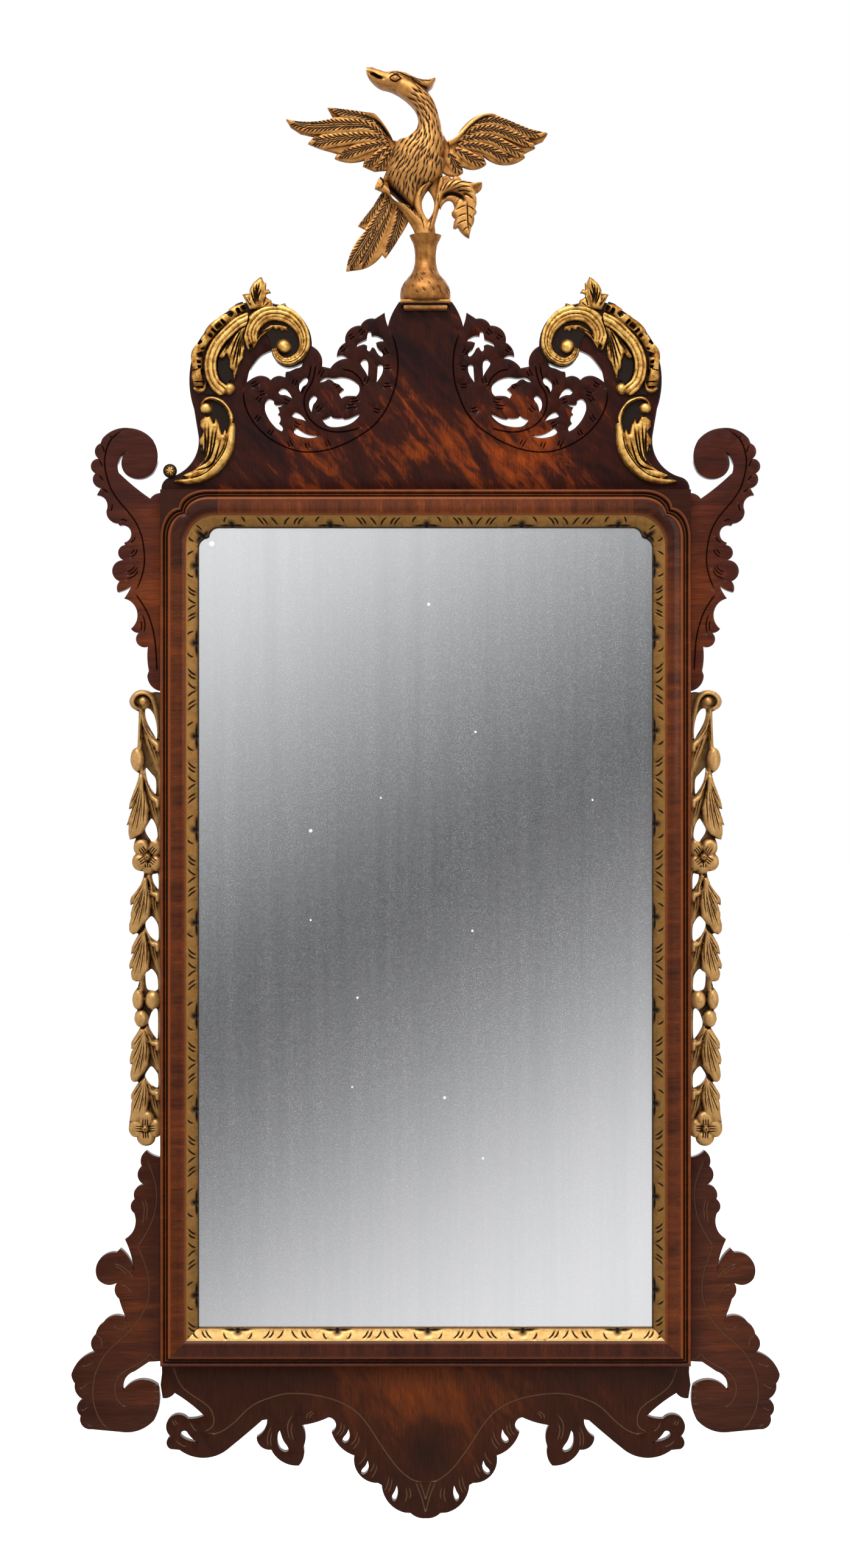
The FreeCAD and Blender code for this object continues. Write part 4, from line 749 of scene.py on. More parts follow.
APRON_GOUGES = [
    [(-239, -465), (-237.6, -468), (-236, -470.5)], [(-236.4, -465), (-235.2, -467.4), (-233.6, -469.5)],
    [(-222, -467), (-219, -472.6), (-215, -476)], [(-235.5, -484), (-231, -488), (-225, -490.4)],
    [(-145, -470), (-148.8, -480), (-148.4, -491)], [(-144.4, -475), (-146, -483), (-145.2, -491)],
    [(-124, -458.5), (-129.6, -468), (-129.4, -478), (-126.5, -485)],
    [(-125, -467), (-126.8, -475), (-124, -485)], [(-106, -456), (-111.4, -460), (-112, -464.5)],
    [(-105, -458), (-108.4, -460.6), (-109.4, -464)], [(-79.4, -466), (-80.4, -474), (-85, -480)],
    [(-76.6, -468), (-77.4, -475), (-81.6, -480.4)], [(-63.6, -475), (-66, -483), (-71, -489.6)],
    [(-62, -480), (-64, -487), (-69, -493)], [(-55.5, -494), (-58, -501), (-63.6, -507.6)],
    [(-45.5, -507), (-47.5, -514), (-51.6, -520.4)], [(-48, -505), (-49.6, -510), (-52.4, -514.6)],
    [(-34, -517), (-36, -526), (-39, -532.6)], [(-31.4, -519), (-32.6, -527), (-35.6, -534)],
    [(-18.6, -528), (-17.6, -536), (-19.4, -543.6)], [(-15.6, -528), (-14, -534), (-14.8, -540)],
]
APRON_HOLES = [
    [[(-220, -485.5), (-227, -483), (-231, -479.5), (-229.6, -476), (-226, -475.6), (-223, -479.4),
                      (-219, -483.5), (-214, -486.5)]],
    [[(-139.4, -479), (-139.5, -487), (-137, -493), (-132.4, -495.4), (-129.2, -493.6), (-130.4, -490),
                      (-134.4, -484), (-137.5, -475)]],
    [[(-74.5, -478), (-77.4, -481.6), (-78.6, -485), (-75.8, -487), (-72.6, -484.6), (-71.6, -480),
                     (-72.5, -474)]],
    [[(-56.5, -508), (-60, -512), (-60.8, -515.4), (-58, -516.6), (-54.6, -513.4), (-53.6, -508.6),
                       (-54.5, -503.5)]],
    [[(-29, -532), (-31.6, -537), (-31, -541), (-28.6, -541.8), (-26.6, -537.4), (-26.2, -532), (-27, -527)]],
]
# The boards' blank (edge, full, reach) and grid, then width and depth of their incised lines and gouges.
BOARD_BLANK = (9.2, 10.0, 1.1)
BOARD_PITCH = 14.0
LINE = (1.9, 1.2)
GOUGE = (1.7, 1.0)


def nick(carving, x, z, turn, length):
    """Two short gouges side by side."""
    a = math.radians(turn)
    along_it, across = np.array([math.cos(a), math.sin(a)]), np.array([-math.sin(a), math.cos(a)])
    for shift, share in ((-1.5, 1.0), (1.5, 0.75)):
        middle = np.array([x, z]) + across * shift
        half = along_it * length * share / 2
        carving.cut([middle - half, middle + across * 0.5, middle + half], *GOUGE, step=0.8, taper=0.2)


def fretted(name, lines, material, sides, holes=(), nicks=(), gouges=()):
    """A sawn board with softened edges, its outline from the node, its lines cut into the front.

    Openings given here take the place of the node's simpler ones.
    """
    blank = Carving(*BOARD_BLANK)
    for flip in sides:
        for points in lines:
            blank.cut(mirrored(points) if flip else points, *LINE, step=1.2, taper=0.06)
        for points in gouges:
            blank.cut(mirrored(points) if flip else points, *GOUGE, step=0.8, taper=0.3)
        for x, z, turn, length in nicks:
            nick(blank, -x if flip else x, z, 180 - turn if flip else turn, length)
    loops = front_loops(name)
    if holes:
        loops = loops[:1]
    loops += [lobed(hole) * turn for hole in holes for turn in ((1, 1), (-1, 1))]
    carved(name + "_carved", loops, BOARD_BACK, blank, BOARD_PITCH, material, [name], smooth=30)


fretted("crest_board", CREST_LINES, WOOD["crest"], (False, True), CREST_HOLES, nicks=CREST_NICKS)
fretted("apron_board", APRON_LINES, WOOD["apron"], (False, True), APRON_HOLES, gouges=APRON_GOUGES)
for kind in ("ear_upper", "ear_lower"):
    for side in ("left", "right"):
        fretted(f"{kind}_{side}", EAR_LINES[kind], WOOD[kind], (side == "right",), gouges=EAR_GOUGES[kind])


# Frame moulding: inset from the outer edge, rise above the carcass, darkening there (dirt and painted shade
# in the grooves and at the edges), lightening there (wear of the polish and painted highlight on the beads
# and the arris).
MOULDING = [
    (0, 0, 0, 0), (0, 5.8, 0.3, 0), (0.45, 7.2, 0, 0.3), (1.0, 7.8, 0, 0.5), (1.75, 8.0, 0, 0.5),
    (2.5, 7.8, 0, 0.3), (3.05, 7.2, 0, 0), (3.4, 6.6, 0.5, 0), (3.6, 5.4, 1, 0), (4.0, 5.2, 1, 0),
    (4.4, 6.1, 0.2, 0.2), (5.1, 6.5, 0, 0.4), (5.8, 6.2, 0.2, 0.2), (6.2, 5.3, 1, 0), (6.7, 5.4, 1, 0),
    (7.0, 6.6, 0.4, 0), (7.3, 8.4, 0, 0.2), (7.9, 9.7, 0, 0.7), (8.7, 10.4, 0, 1), (9.6, 10.5, 0, 0.7),
    (10.4, 10.5, 0, 0.1), (12.5, 10.9, 0, 0), (15.0, 11.4, 0, 0), (17.5, 11.8, 0, 0), (19.5, 11.8, 0, 0),
    (21.3, 11.4, 0, 0), (22.8, 10.7, 0, 0.2), (23.8, 10.0, 0, 0.7), (24.5, 9.3, 0.2, 0.5), (24.5, 0, 0, 0),
]
BLOCK = 54.0
SPANDREL = 5.0
CLEARANCE = 0.15
# Corner lobes at each inset: how sharp the cusp is, how far in it lies, how long the lobe runs, plain radius.
LOBES = [(0, 1, 17, 45, 30), (7, 1, 16.3, 39, 30), (11, 0.85, 14.5, 36, 30), (17, 0.3, 11, 32, 30),
         (24.5, 0.0, 9, 28, 28), (30, 0.5, 9, 22, 22), (36, 1, 9.5, 18, 18)]


def corner_point(t, inset):
    """A point of the top right corner's path: t runs from -1 at the side past the cusp at 0 to 1 on top."""
    depths = [row[0] for row in LOBES]
    sharp, cusp, run, plain = (np.interp(inset, depths, [row[i] for row in LOBES]) for i in (1, 2, 3, 4))
    u = 1 - np.abs(t)
    turn, half_turn = u * math.pi / 2, u * math.pi / 4
    in_ = sharp * cusp * (1 - np.cos(turn)) + (1 - sharp) * plain * (1 - np.cos(half_turn))
    up = sharp * (run - (run - cusp) * np.sin(turn)) + (1 - sharp) * plain * (1 - np.sin(half_turn))
    across, down = np.where(t < 0, in_, up), np.where(t < 0, up, in_)
    return HALF_WIDTH - inset - across, HALF_HEIGHT - inset - down


def tube(rows, sides):
    """Faces of a closed tube: rows of points one above the other, with a face at either end."""
    faces = [(i * sides + k, i * sides + (k + 1) % sides, (i + 1) * sides + (k + 1) % sides,
              (i + 1) * sides + k) for i in range(rows - 1) for k in range(sides)]
    return faces + [tuple(range(sides)), tuple(range((rows - 1) * sides, rows * sides))]


def swept(name, rings, material, replaced, extra=None):
    """A moulding of the frame: each ring places the profile's insets in the XZ plane."""
    insets = np.array([row[0] for row in MOULDING])
    vertices, faces = [], tube(len(rings), len(MOULDING))
    for ring in rings:
        x, z = ring(insets)
        vertices += [(px, CARCASS_FRONT - row[1], pz) for px, pz, row in zip(x, z, MOULDING)]
    # Per profile point: darkening (dirt and painted shade) and lightening (rubbed polish and painted
    # highlight).
    dirt = [row[2] for row in MOULDING] * len(rings)
    worn = [row[3] for row in MOULDING] * len(rings)
    if extra:
        more, ring_faces = extra
        faces += [tuple(len(vertices) + i for i in face) for face in ring_faces]
        dirt += [0.0] * len(more)
        worn += [0.0] * len(more)
        vertices = vertices + more
    mesh = mesh_of(name, vertices, faces, dirt=dirt, worn=worn)
    add_piece(name, mesh, material, replaced, smooth=40)


# Rings: across a stile, across the top rail, at a lower mitre, and at a place on a lobed corner.
def level_ring(z, sign):
    return lambda d: (sign * (HALF_WIDTH - d), np.full(len(d), z))


def upright_ring(x):
    return lambda d: (np.full(len(d), x), HALF_HEIGHT - d)


def mitre_ring(sign):
    return lambda d: (sign * (HALF_WIDTH - d), -(HALF_HEIGHT - d))


def corner_ring(t, sign):
    def ring(d):
        x, z = corner_point(np.full(len(d), t), d)
        return sign * x, z
    return ring


BLOCK_X, BLOCK_Z = HALF_WIDTH - BLOCK, HALF_HEIGHT - BLOCK
swept("moulding_bottom_run", [mitre_ring(-1), mitre_ring(1)], WOOD["bottom"], ["moulding_bottom"])
swept("moulding_top_run", [upright_ring(-BLOCK_X + CLEARANCE), upright_ring(BLOCK_X - CLEARANCE)],
      WOOD["top"], ["moulding_top"])
for side, sign in (("left", -1), ("right", 1)):
    swept(f"moulding_{side}_run", [mitre_ring(sign), level_ring(BLOCK_Z, sign)], WOOD["stile"],
          [f"moulding_{side}"])
    turns = [corner_ring(t, sign) for t in np.linspace(-1, 1, 33)]
    edge = [corner_point(np.array(t), 0.0) for t in np.linspace(-1, 1, 17)]
    edge = [(sign * x, z) for x, z in edge] + [(sign * HALF_WIDTH, HALF_HEIGHT)]
    spandrel = [(x, y, z) for y in (CARCASS_FRONT - SPANDREL, CARCASS_FRONT) for x, z in edge]
    n = len(edge)
    caps = [tuple(range(n)), tuple(range(n, 2 * n))]
    caps += [(i, (i + 1) % n, n + (i + 1) % n, n + i) for i in range(n)]
    swept(f"corner_block_{side}_lobed", [level_ring(BLOCK_Z, sign), *turns, upright_ring(sign * BLOCK_X)],
          WOOD["corner"], [f"corner_block_{side}"], (spandrel, caps))


# Gilt slip, carved flat along its run and then laid round the opening.
SLIP_OUT, SLIP_IN = 24.5, 36.0
SLIP_RISE, SLIP_FALL = 8.6, 4.9
CORNER_RUN = 44.0
MOTIF_PITCH = 87.5
TOP_MOTIF = 340
# Gouges beside a motif: along the run and across the slip, at the start and at the end.
SLIP_GOUGES = [(9.0, 0.10, 13.5, 0.62), (23.5, 0.12, 30.5, 0.84), (28.5, 0.16, 34.0, 0.80),
               (36.5, 0.12, 43.2, 0.84)]


def slip_rise(points, _height, _away):
    """Height of the slip's hollow slope, with a fillet by the sight edge."""
    q = np.clip((points[:, 1] - SLIP_OUT) / (SLIP_IN - SLIP_OUT), 0, 1)
    fillet = 0.5 * np.exp(-((q - 0.94) / 0.05) ** 2)
    return SLIP_RISE - SLIP_FALL * q**1.15 + fillet


def slip_carving(motifs):
    """Lens cuts at the sight edge with slanted gouges between them, leaning away from each lens, and a dark
    line along the sight edge that is a painted shadow at the glass.
    """
    cutting = Carving(3, 8, 0.8, slip_rise)
    runs = np.diff(motifs)

    def at(s, q):
        return s, SLIP_OUT + q * (SLIP_IN - SLIP_OUT)

    def fit_of(k):
        return min(1, runs[k] / MOTIF_PITCH) if 0 <= k < len(runs) else 1

    # Painted shadow: a shallow dark line along the sight edge, where shade falls at the glass.
    cutting.cut([at(motifs[0] - 60, 1.0), at(motifs[-1] + 60, 1.0)], 2.4, 0.5, step=4.0, taper=0)
    for k, m in enumerate(motifs):
        fit = {-1: fit_of(k - 1), 1: fit_of(k)}
        cutting.cut([at(m - 15, 0.92), at(m - 7, 0.84), at(m, 0.82), at(m + 7, 0.84), at(m + 15, 0.92)],
                    3.4, 1.3)
        cutting.cut([at(m, 0.98), at(m, 0.66)], 9.0, 2.4, step=0.7, taper=0)
        for hand in (-1, 1):
            for s0, q0, s1, q1 in SLIP_GOUGES[:1 if fit[hand] < 0.6 else None]:
                reach = hand * fit[hand]
                bow = at(m + reach * ((s0 + s1) / 2 + 0.5), (q0 + q1) / 2 - 0.07)
                cutting.cut([at(m + reach * s0, q0), bow, at(m + reach * s1, q1)], 1.9, 1.15, step=0.7,
                            taper=0.25)
    return cutting


def slip(name, loop, motifs, place, replaced, gold=SLIP_GOLD):
    """A run of the slip, carved flat over its loop and then put in its place."""
    def wrap(points, heights):
        x, z = place(points[:, 0], points[:, 1])
        return np.column_stack([x, CARCASS_FRONT - heights, z])
    carved(name, [np.array(loop, float)], 0, slip_carving(motifs), 2.6, gold, replaced,
           smooth=40, wrap=wrap, rows=1.2)


def top_place(s, d):
    """Along the top edge of the opening, with both lobed corners."""
    sign = np.sign(s)
    t = 1 - 2 * np.clip((np.abs(s) - BLOCK_X) / CORNER_RUN, 0, 1)
    x, z = corner_point(t, d)
    end, _ = corner_point(np.ones(len(s)), d)
    straight = np.abs(s) <= BLOCK_X
    return np.where(straight, s / BLOCK_X * end, sign * x), np.where(straight, HALF_HEIGHT - d, z)


joint = [(float(corner_point(np.array(-1.0), d)[1]), d) for d in np.linspace(SLIP_OUT, SLIP_IN, 5)]
low = [(-(HALF_HEIGHT - SLIP_OUT), SLIP_OUT), *joint, (-(HALF_HEIGHT - SLIP_IN), SLIP_IN)]
for side, sign, phase in (("left", -1, 4.6), ("right", 1, 10.0)):
    spots = [phase + MOTIF_PITCH * k for k in range(-4, 4)]
    slip(f"slip_{side}_carved", low, [m for m in spots if -370 < m < 330] + [TOP_MOTIF],
         lambda s, d, sign=sign: (sign * (HALF_WIDTH - d), s), [f"slip_{side}"])
wide, sight = HALF_WIDTH - SLIP_OUT, HALF_WIDTH - SLIP_IN
# The bottom run wears the lighter copy of the slip gold: painted light on its upturned face.
slip("slip_bottom_carved", [(-wide, SLIP_OUT), (wide, SLIP_OUT), (sight, SLIP_IN), (-sight, SLIP_IN)],
     [-176.2, -82.8, 2.1, 91.2, 180.3], lambda s, d: (s, -(HALF_HEIGHT - d)), ["slip_bottom"], SLIP_GOLD_PAINTED_LIT)
ends = BLOCK_X + CORNER_RUN
slip("slip_top_carved", [(-ends, SLIP_OUT), (ends, SLIP_OUT), (ends, SLIP_IN), (-ends, SLIP_IN)],
     [-222, -181, -89, 1, 90, 180, 222], top_place, ["slip_top"])


def offset(points, distance):
    """A curve beside another one; the distance may be given at each point."""
    path = curve(points, 2.0)
    away = np.interp(np.linspace(0, 1, len(path)), shares(points), np.broadcast_to(distance, len(points)))
    return (path + normals(path) * away[:, None])[::2]


def feather(c, spine, width, rise, level=0.0, step=4.4, deep=1.2):
    """A carved quill feather: domed blade, shaft line, barbs slanting towards the tip on both sides."""
    path = curve(spine, 0.8)
    share = shares(path)
    half = np.interp(share, shares(spine), width) / 2
    side = normals(path) * half[:, None]
    c.blade(np.vstack([path + side, (path - side)[::-1]]), level + rise - 2.0, level + rise, max(half) * 0.8)
    c.cut(path[:: max(1, len(path) // 8)], 1.7, deep * 0.8, taper=0.12, own=True)
    tangent = np.gradient(path, axis=0)
    tangent /= np.linalg.norm(tangent, axis=1)[:, None]
    length = np.linalg.norm(np.diff(path, axis=0), axis=1).sum()
    count = max(3, int(length / step))
    for k in range(count):
        for hand in (-1, 1):
            i = int((k + 0.4 + 0.25 * hand) / count * 0.9 * (len(path) - 1))
            out = hand * side[i]
            end = path[i] + out * 0.86 + tangent[i] * half[i] * 1.5
            bow = path[i] + out * 0.36 + tangent[i] * half[i] * 0.85
            c.cut([path[i] + out * 0.1, bow, end], 2.0, deep, step=0.8, taper=0.3, own=True)


# Backs of the finial's pieces: body, tail and vase, then wings, branches and leaf.
FINIAL_BACK = -2.0
WING_BACK = -8.0
# Phoenix: outline seen from the front, beak first, then over the head and down the back.
PHOENIX = [
    (-55.4, 811.0), (-53, 812.4), (-49.5, 812.2), (-43.2, 809.5), (-38.4, 807.5), (-35.2, 807.5),
    (-31.3, 808.4), (-26.5, 808.7), (-21.7, 807.6), (-17.8, 805.6), (-13, 802.9), (-8.3, 801.1),
    (-1.9, 800.5), (4.4, 801), (9.2, 801.7), (8.4, 797.6), (6, 794), (2.9, 791.6), (0.5, 790.3),
    (3.7, 786.5), (7.6, 780.2), (10.8, 772.2), (13.2, 762.7), (15.6, 753.2), (18.7, 745.2), (22.2, 740),
    (22.8, 732), (21.5, 724), (18, 716), (12, 708), (4, 701), (-2, 694), (-5, 685), (-7, 677), (-10, 673),
    (-15, 677), (-22, 684), (-30, 691.5), (-38, 699), (-40, 706), (-38, 712), (-35.2, 719), (-33.7, 726),
    (-30.5, 734.1), (-27.3, 738.9), (-24.1, 741.7), (-17.8, 742.5), (-13, 746), (-9, 751.6), (-7.1, 757.9),
    (-7.1, 764.3), (-9, 770.6), (-12.2, 775.4), (-17.8, 781), (-24.1, 785.7), (-31.3, 789.7),
    (-36.8, 791.6), (-40.8, 792.5), (-45.6, 794.9), (-49.5, 798.4), (-53, 802.4), (-55.1, 806.3),
    (-56.1, 808.7),
]
# Middle line from the head to the tail root, with the width across it.
BODY_LINE = [(-20, 794.5), (-11, 787.5), (-2.3, 777.8), (2.5, 765.6), (3.3, 752.4), (0.5, 742.7),
             (-4.7, 734.5), (-8.7, 722.5), (-15.5, 710), (-17, 700), (-15.5, 689), (-13.3, 679.5)]
BODY_WIDTH = [19, 21, 20, 19.5, 24.5, 38, 52, 53, 45, 30, 13, 3]
BODY_RISE = [9, 10, 10, 10.5, 12.5, 15, 17.5, 17.5, 15, 11, 7, 3]


def phoenix_body():
    """Body, head and beak, then the eye, the beak's line, the crest and rows of small feathers."""
    c = Carving(9.0, 12.0, 4.0)
    middle = 11.0
    c.band(BODY_LINE, BODY_WIDTH, BODY_RISE, middle)
    c.band([(-55, 808), (-47, 803.5), (-38, 800), (-28, 799.5), (-18, 798), (-8, 795)],
           [8, 14, 15, 18, 17, 9], [4.5, 6.5, 7.5, 9, 8, 4], middle)
    c.band([(-30, 805), (-20, 803), (-9, 797.5), (1, 796), (8.5, 800.5)], [4, 7, 8, 9, 3],
           [8, 9.5, 9, 7, 4], middle)
    c.ball(-28.6, 799.7, 2.5, 3.2, middle + 7.5)
    for turn in ([(-34, 799.8), (-31, 802.2), (-27.5, 803), (-24.4, 800.6), (-22.5, 798.4)],
                 [(-34, 799.8), (-31, 797.2), (-27.5, 796.6), (-24.6, 798.4), (-22.5, 798.4)]):
        c.cut(turn, 1.6, 1.6, step=0.6, taper=0.1)
    c.cut([(-53.6, 806), (-49, 804), (-44.5, 801.4), (-39, 799.6)], 3.8, 5.0, step=0.7, taper=0.3)
    c.cut([(-36.5, 803), (-31, 805.6), (-24, 804.6), (-14, 799.5), (-4, 793.2), (1, 791.6)], 1.3, 1.5,
          taper=0.15)
    for shift in (0, 1, 2, 3):
        c.cut([(-20 + 6 * shift, 803.5 - 1.6 * shift), (-9 + 4 * shift, 798.2 - 0.2 * shift),
               (-1 + 2.4 * shift, 793.4 + 1.9 * shift)], 1.1, 1.0, taper=0.3)
    # Painted shadow: a wide deep cut, darkened, under the body where its underside shades the branch.
    c.cut([(-39, 703.5), (-30, 695.5), (-21, 687), (-11.5, 676)], 9.0, 6.0, taper=0.05)
    rng = np.random.default_rng(7)
    path = curve(BODY_LINE, 0.5)
    across = normals(path)
    row = 0
    share = 0.06
    while share < 0.9:
        i = int(share * (len(path) - 1))
        half = np.interp(share, shares(BODY_LINE), BODY_WIDTH) / 2
        normal = across[i]
        onward = np.array([normal[1], -normal[0]])
        count = max(4, int(half * 2 / 4.2))
        for k in range(count):
            q = -0.9 + 1.8 * (k + 0.5 * (row % 2) + 0.25) / count + rng.uniform(-0.04, 0.04)
            if abs(q) < 0.95:
                long = rng.uniform(8.5, 12.5)
                spread = 0.30 if share > 0.35 else -0.05
                way = onward + normal * q * spread + normal * rng.uniform(-0.12, 0.12)
                start = path[i] + normal * q * half
                end = start + way / np.linalg.norm(way) * long
                bow = (start + end) / 2 + normal * rng.uniform(-0.5, 0.5)
                c.cut([start, bow, end], rng.uniform(1.6, 2.4), rng.uniform(0.9, 1.4), step=0.8, taper=0.4)
        row += 1
        share += 0.037
    outline = curve(PHOENIX, 1.2, closed=True)
    carved("phoenix_body_carved", [outline], FINIAL_BACK, c, 1.0, FINIAL_GOLD,
           ["phoenix_body"], smooth=60)


# Feathers of the wings and the tail: middle line, with the width across it.
WING_LEFT = [
    ([(-32, 734), (-38, 725), (-43, 718), (-48, 714.5)], [5, 9, 8, 2]),
    ([(-33, 737), (-44, 729), (-52, 722), (-59, 719)], [5, 10, 9, 3]),
    ([(-34, 740), (-50, 737.5), (-68, 732), (-85, 726.5)], [5, 10, 13, 3]),
    ([(-36, 743), (-55, 746), (-80, 744), (-98, 741.5), (-110, 740)], [5, 11, 14, 14, 3]),
    ([(-38, 746), (-55, 756), (-80, 757), (-105, 756), (-120, 758), (-131.5, 762.5)], [5, 13, 16, 16, 11, 2]),
    ([(-46, 759), (-62, 766), (-78, 769), (-92, 773.5)], [6, 9, 10, 2]),
]
WING_RIGHT = [
    ([(22, 732), (26, 724), (30, 717), (35.5, 714)], [8, 15, 13, 4]),
    ([(27, 735), (38, 729), (48, 723.5), (57.5, 721.5)], [6, 12, 13, 3]),
    ([(30, 738), (46, 737.5), (60, 734), (72, 727.5), (83, 724)], [5, 9, 11, 11, 4]),
    ([(32, 742), (48, 745), (62, 744), (76, 737), (88, 731), (94, 729)], [5, 9, 10, 11, 10, 2]),
    ([(34, 746), (50, 752.5), (66, 752.5), (82, 747), (95, 741), (103.5, 737.5)], [5, 9, 10, 11, 10, 2]),
    ([(36, 750), (48, 759), (62, 761.5), (78, 758.5), (92, 752), (104, 748.5), (115, 750)],
     [5, 9, 10, 10, 10, 9, 2]),
]
LEFT_SHOULDER = [(-24.5, 739), (-31, 748), (-39, 759), (-48, 767), (-60, 770.5), (-78, 772), (-91, 773.5)]
LEFT_LINE = [(-30, 741), (-36, 749), (-44, 759), (-55, 765), (-70, 767)]
RIGHT_SHOULDER = [(20.5, 739.5), (29, 744.5), (37, 752), (45, 760), (54, 766), (64, 767), (76, 762.5)]
RIGHT_LINE = [(27, 740), (34, 746), (42, 755), (51, 762), (60, 765), (70, 764)]
TAIL = [
    ([(-24, 684), (-25, 670), (-30, 652), (-38, 634)], [10, 13, 13, 3]),
    ([(-31, 688), (-40, 667), (-50, 646), (-58, 631), (-63, 623)], [8, 13, 14, 13, 3]),
    ([(-34, 690), (-46, 668), (-58, 648), (-68, 632), (-75, 620)], [8, 13, 15, 15, 4]),
    ([(-33, 692), (-41, 676), (-49, 662), (-53, 650.5)], [8, 12, 12, 4]),
    ([(-38, 697), (-46, 684), (-55, 673), (-63, 665)], [7, 12, 12, 3]),
]


def wing(feathers, shoulder, line):
    """Overlapping feathers under a rounded shoulder."""
    c = Carving(4.0, 4.6, 2.0)
    for k, (spine, width) in enumerate(feathers):
        feather(c, spine, width, 3.2 + 0.35 * k, 3.0)
    c.band(shoulder, [7, 8, 8.5, 8, 6.5, 4.5, 2], [6, 6.2, 6, 5.6, 4.8, 3.8, 2.6], 3.4)
    c.cut(line, 2.2, 2.0)
    return c


def tail():
    """Overlapping tail feathers."""
    c = Carving(2.2, 2.8, 1.6)
    for k, (spine, width) in enumerate(TAIL):
        feather(c, spine, width, 2.4 + 0.35 * k, 1.6, step=4.0, deep=1.0)
    return c


def branches():
    """Forked branches under the bird, with lines of bark and a cut stump."""
    c = Carving(3.5, 5.0, 2.5)
    c.band([(-1, 652), (-2, 662), (-2.5, 670)], [17, 17, 15], [9, 9, 8.5])
    c.band([(-4, 664), (-14, 675), (-27, 687), (-38, 697), (-44, 702)], [12, 9.5, 8.5, 8.5, 9],
           [9, 9.4, 9.6, 9.8, 10])
    c.band([(-2, 668), (-7, 680), (-6, 692), (1.5, 703), (10, 711), (15, 716)], [10, 9.5, 9, 9.5, 9, 8],
           [9, 9.5, 9.8, 9.8, 9.6, 9])
    c.band([(3.5, 660), (8, 673), (11, 685), (13, 697), (15, 706)], [9, 6.5, 6, 7, 7], [8.5, 8, 8, 8, 8])
    for points in ([(-8, 671), (-20, 682), (-33, 694)], [(-4, 668), (-15, 679), (-25, 689)],
                   [(-1, 655), (-2.5, 664), (-6, 676)], [(3, 655), (5, 665), (9, 678)],
                   [(-6.5, 683), (-3, 695), (5, 705)], [(-4, 682), (-2, 690), (6, 702), (12, 709)],
                   [(-20, 686), (-26, 691), (-31, 696)], [(10.5, 680), (12.5, 690), (14.5, 700)]):
        c.cut(points, 1.0, 0.9, taper=0.4)
    c.blade([(-46, 712), (-49.8, 706), (-50, 699.5), (-46.5, 696.5), (-41, 698), (-40.5, 703)], 9.0, 9.8, 1.2)
    c.cut([(-42, 696.5), (-39.5, 701), (-41, 706), (-45.5, 711.6)], 1.6, 1.6, taper=0.1)
    return c


FINIAL_LEAF_EDGE = [
    [(12.6, 696), (14, 703), (16, 708.6)], [(21, 709.8), (25, 706.5)],
    [(27.5, 709.4), (32, 708.4), (34, 704.5)], [(40, 704), (46, 702), (50, 703.2), (53.5, 703.4)],
    [(53, 698), (50, 694.5), (46, 692.5)], [(48, 688), (48.4, 683), (47.2, 679)], [(48.2, 675), (46, 672)],
    [(46, 667), (44.5, 663)], [(42.6, 658), (41.3, 650.5)], [(37, 653), (33, 657), (30.5, 661)],
    [(28, 659.6), (26, 660.5)], [(26.6, 665), (28, 669)], [(25, 672), (24.6, 675)],
    [(27, 678.5), (26.4, 683)], [(24, 686), (20, 686), (16, 682), (14, 677.5)], [(12.5, 682), (12.5, 688)],
]


def finial_leaf():
    """A leaf that curls over: veined blade below, hollow, then the rolled upper part with its veins."""
    c = Carving(4.0, 5.5, 2.0)
    c.blade([(38, 692), (47.5, 691), (48, 683), (47, 678), (47.6, 674.5), (45.6, 671), (44, 663),
             (41.3, 652), (37, 654), (31, 661), (27, 661), (28.6, 669), (25.4, 675), (27.6, 679),
             (30, 686)],
            6.0, 8.6, 4.0)
    c.cut([(39, 688), (39.5, 676), (40, 665), (41, 654)], 1.6, 1.2, own=True)
    for root, tip in (((39.4, 680), (46.4, 676)), ((39.7, 672), (44.6, 668)), ((40.4, 664), (43, 660.5)),
                      ((39.4, 681), (28, 676)), ((39.6, 673), (30, 669.5)), ((39.8, 667), (29, 662.5)),
                      ((40.4, 660), (35, 656.5))):
        c.cut([root, ((root[0] + tip[0]) / 2, (root[1] + tip[1]) / 2 + 0.8), tip], 1.5, 1.0, own=True)
    c.cut([(15, 686), (20, 692), (27, 692.5), (34, 689), (38, 683)], 5.0, 3.6, taper=0.2)
    c.band([(11, 682), (14, 693), (21, 699.6), (31, 701), (40, 697.5), (45, 690), (46.5, 684)],
           [6, 9, 12, 13, 13, 10, 3], [8, 9, 9.6, 10, 10, 9.6, 9])
    c.band([(32, 701), (42, 700.5), (52.5, 702.8)], [9, 9, 2], [9, 9.4, 7.6])
    for vein in ([(13, 692), (15.5, 700), (17, 706)], [(15, 692), (19.5, 700.5), (23.5, 706)],
                 [(18, 694), (25, 702), (30.5, 706.6)], [(22, 696), (33, 702.5), (43, 702), (50, 702.6)],
                 [(24, 695), (35, 698.6), (46, 697.5)], [(28, 694.6), (37, 695), (45, 692)],
                 [(34, 692), (40, 690.6), (45.6, 686.4)]):
        c.cut(vein, 1.6, 1.3, taper=0.3)
    return c


# Turned vase: height and radius, its axis in Y, the heights between which it is gouged. Moulded cap under it:
# height, half width, darkening there (dirt and painted shade, most in the cap's groove).
VASE = [(590, 21.5), (592, 23.4), (597, 24), (603, 23.2), (608, 20.8), (613, 16.8), (618, 13.0), (624, 10.8),
        (630, 10.0), (638, 10.2), (645, 11.6), (650, 14.0), (653, 15.2)]
VASE_AXIS = -11.0
VASE_BELLY = (594, 621)
CAP = [(581.6, 20.0, 0.4), (583.4, 20.6, 0), (584.6, 20.2, 0.2), (585.2, 19.4, 1), (586.4, 19.6, 1),
       (587.0, 22.6, 0.3), (587.8, 23.6, 0), (589.2, 23.6, 0), (590, 23.0, 0)]


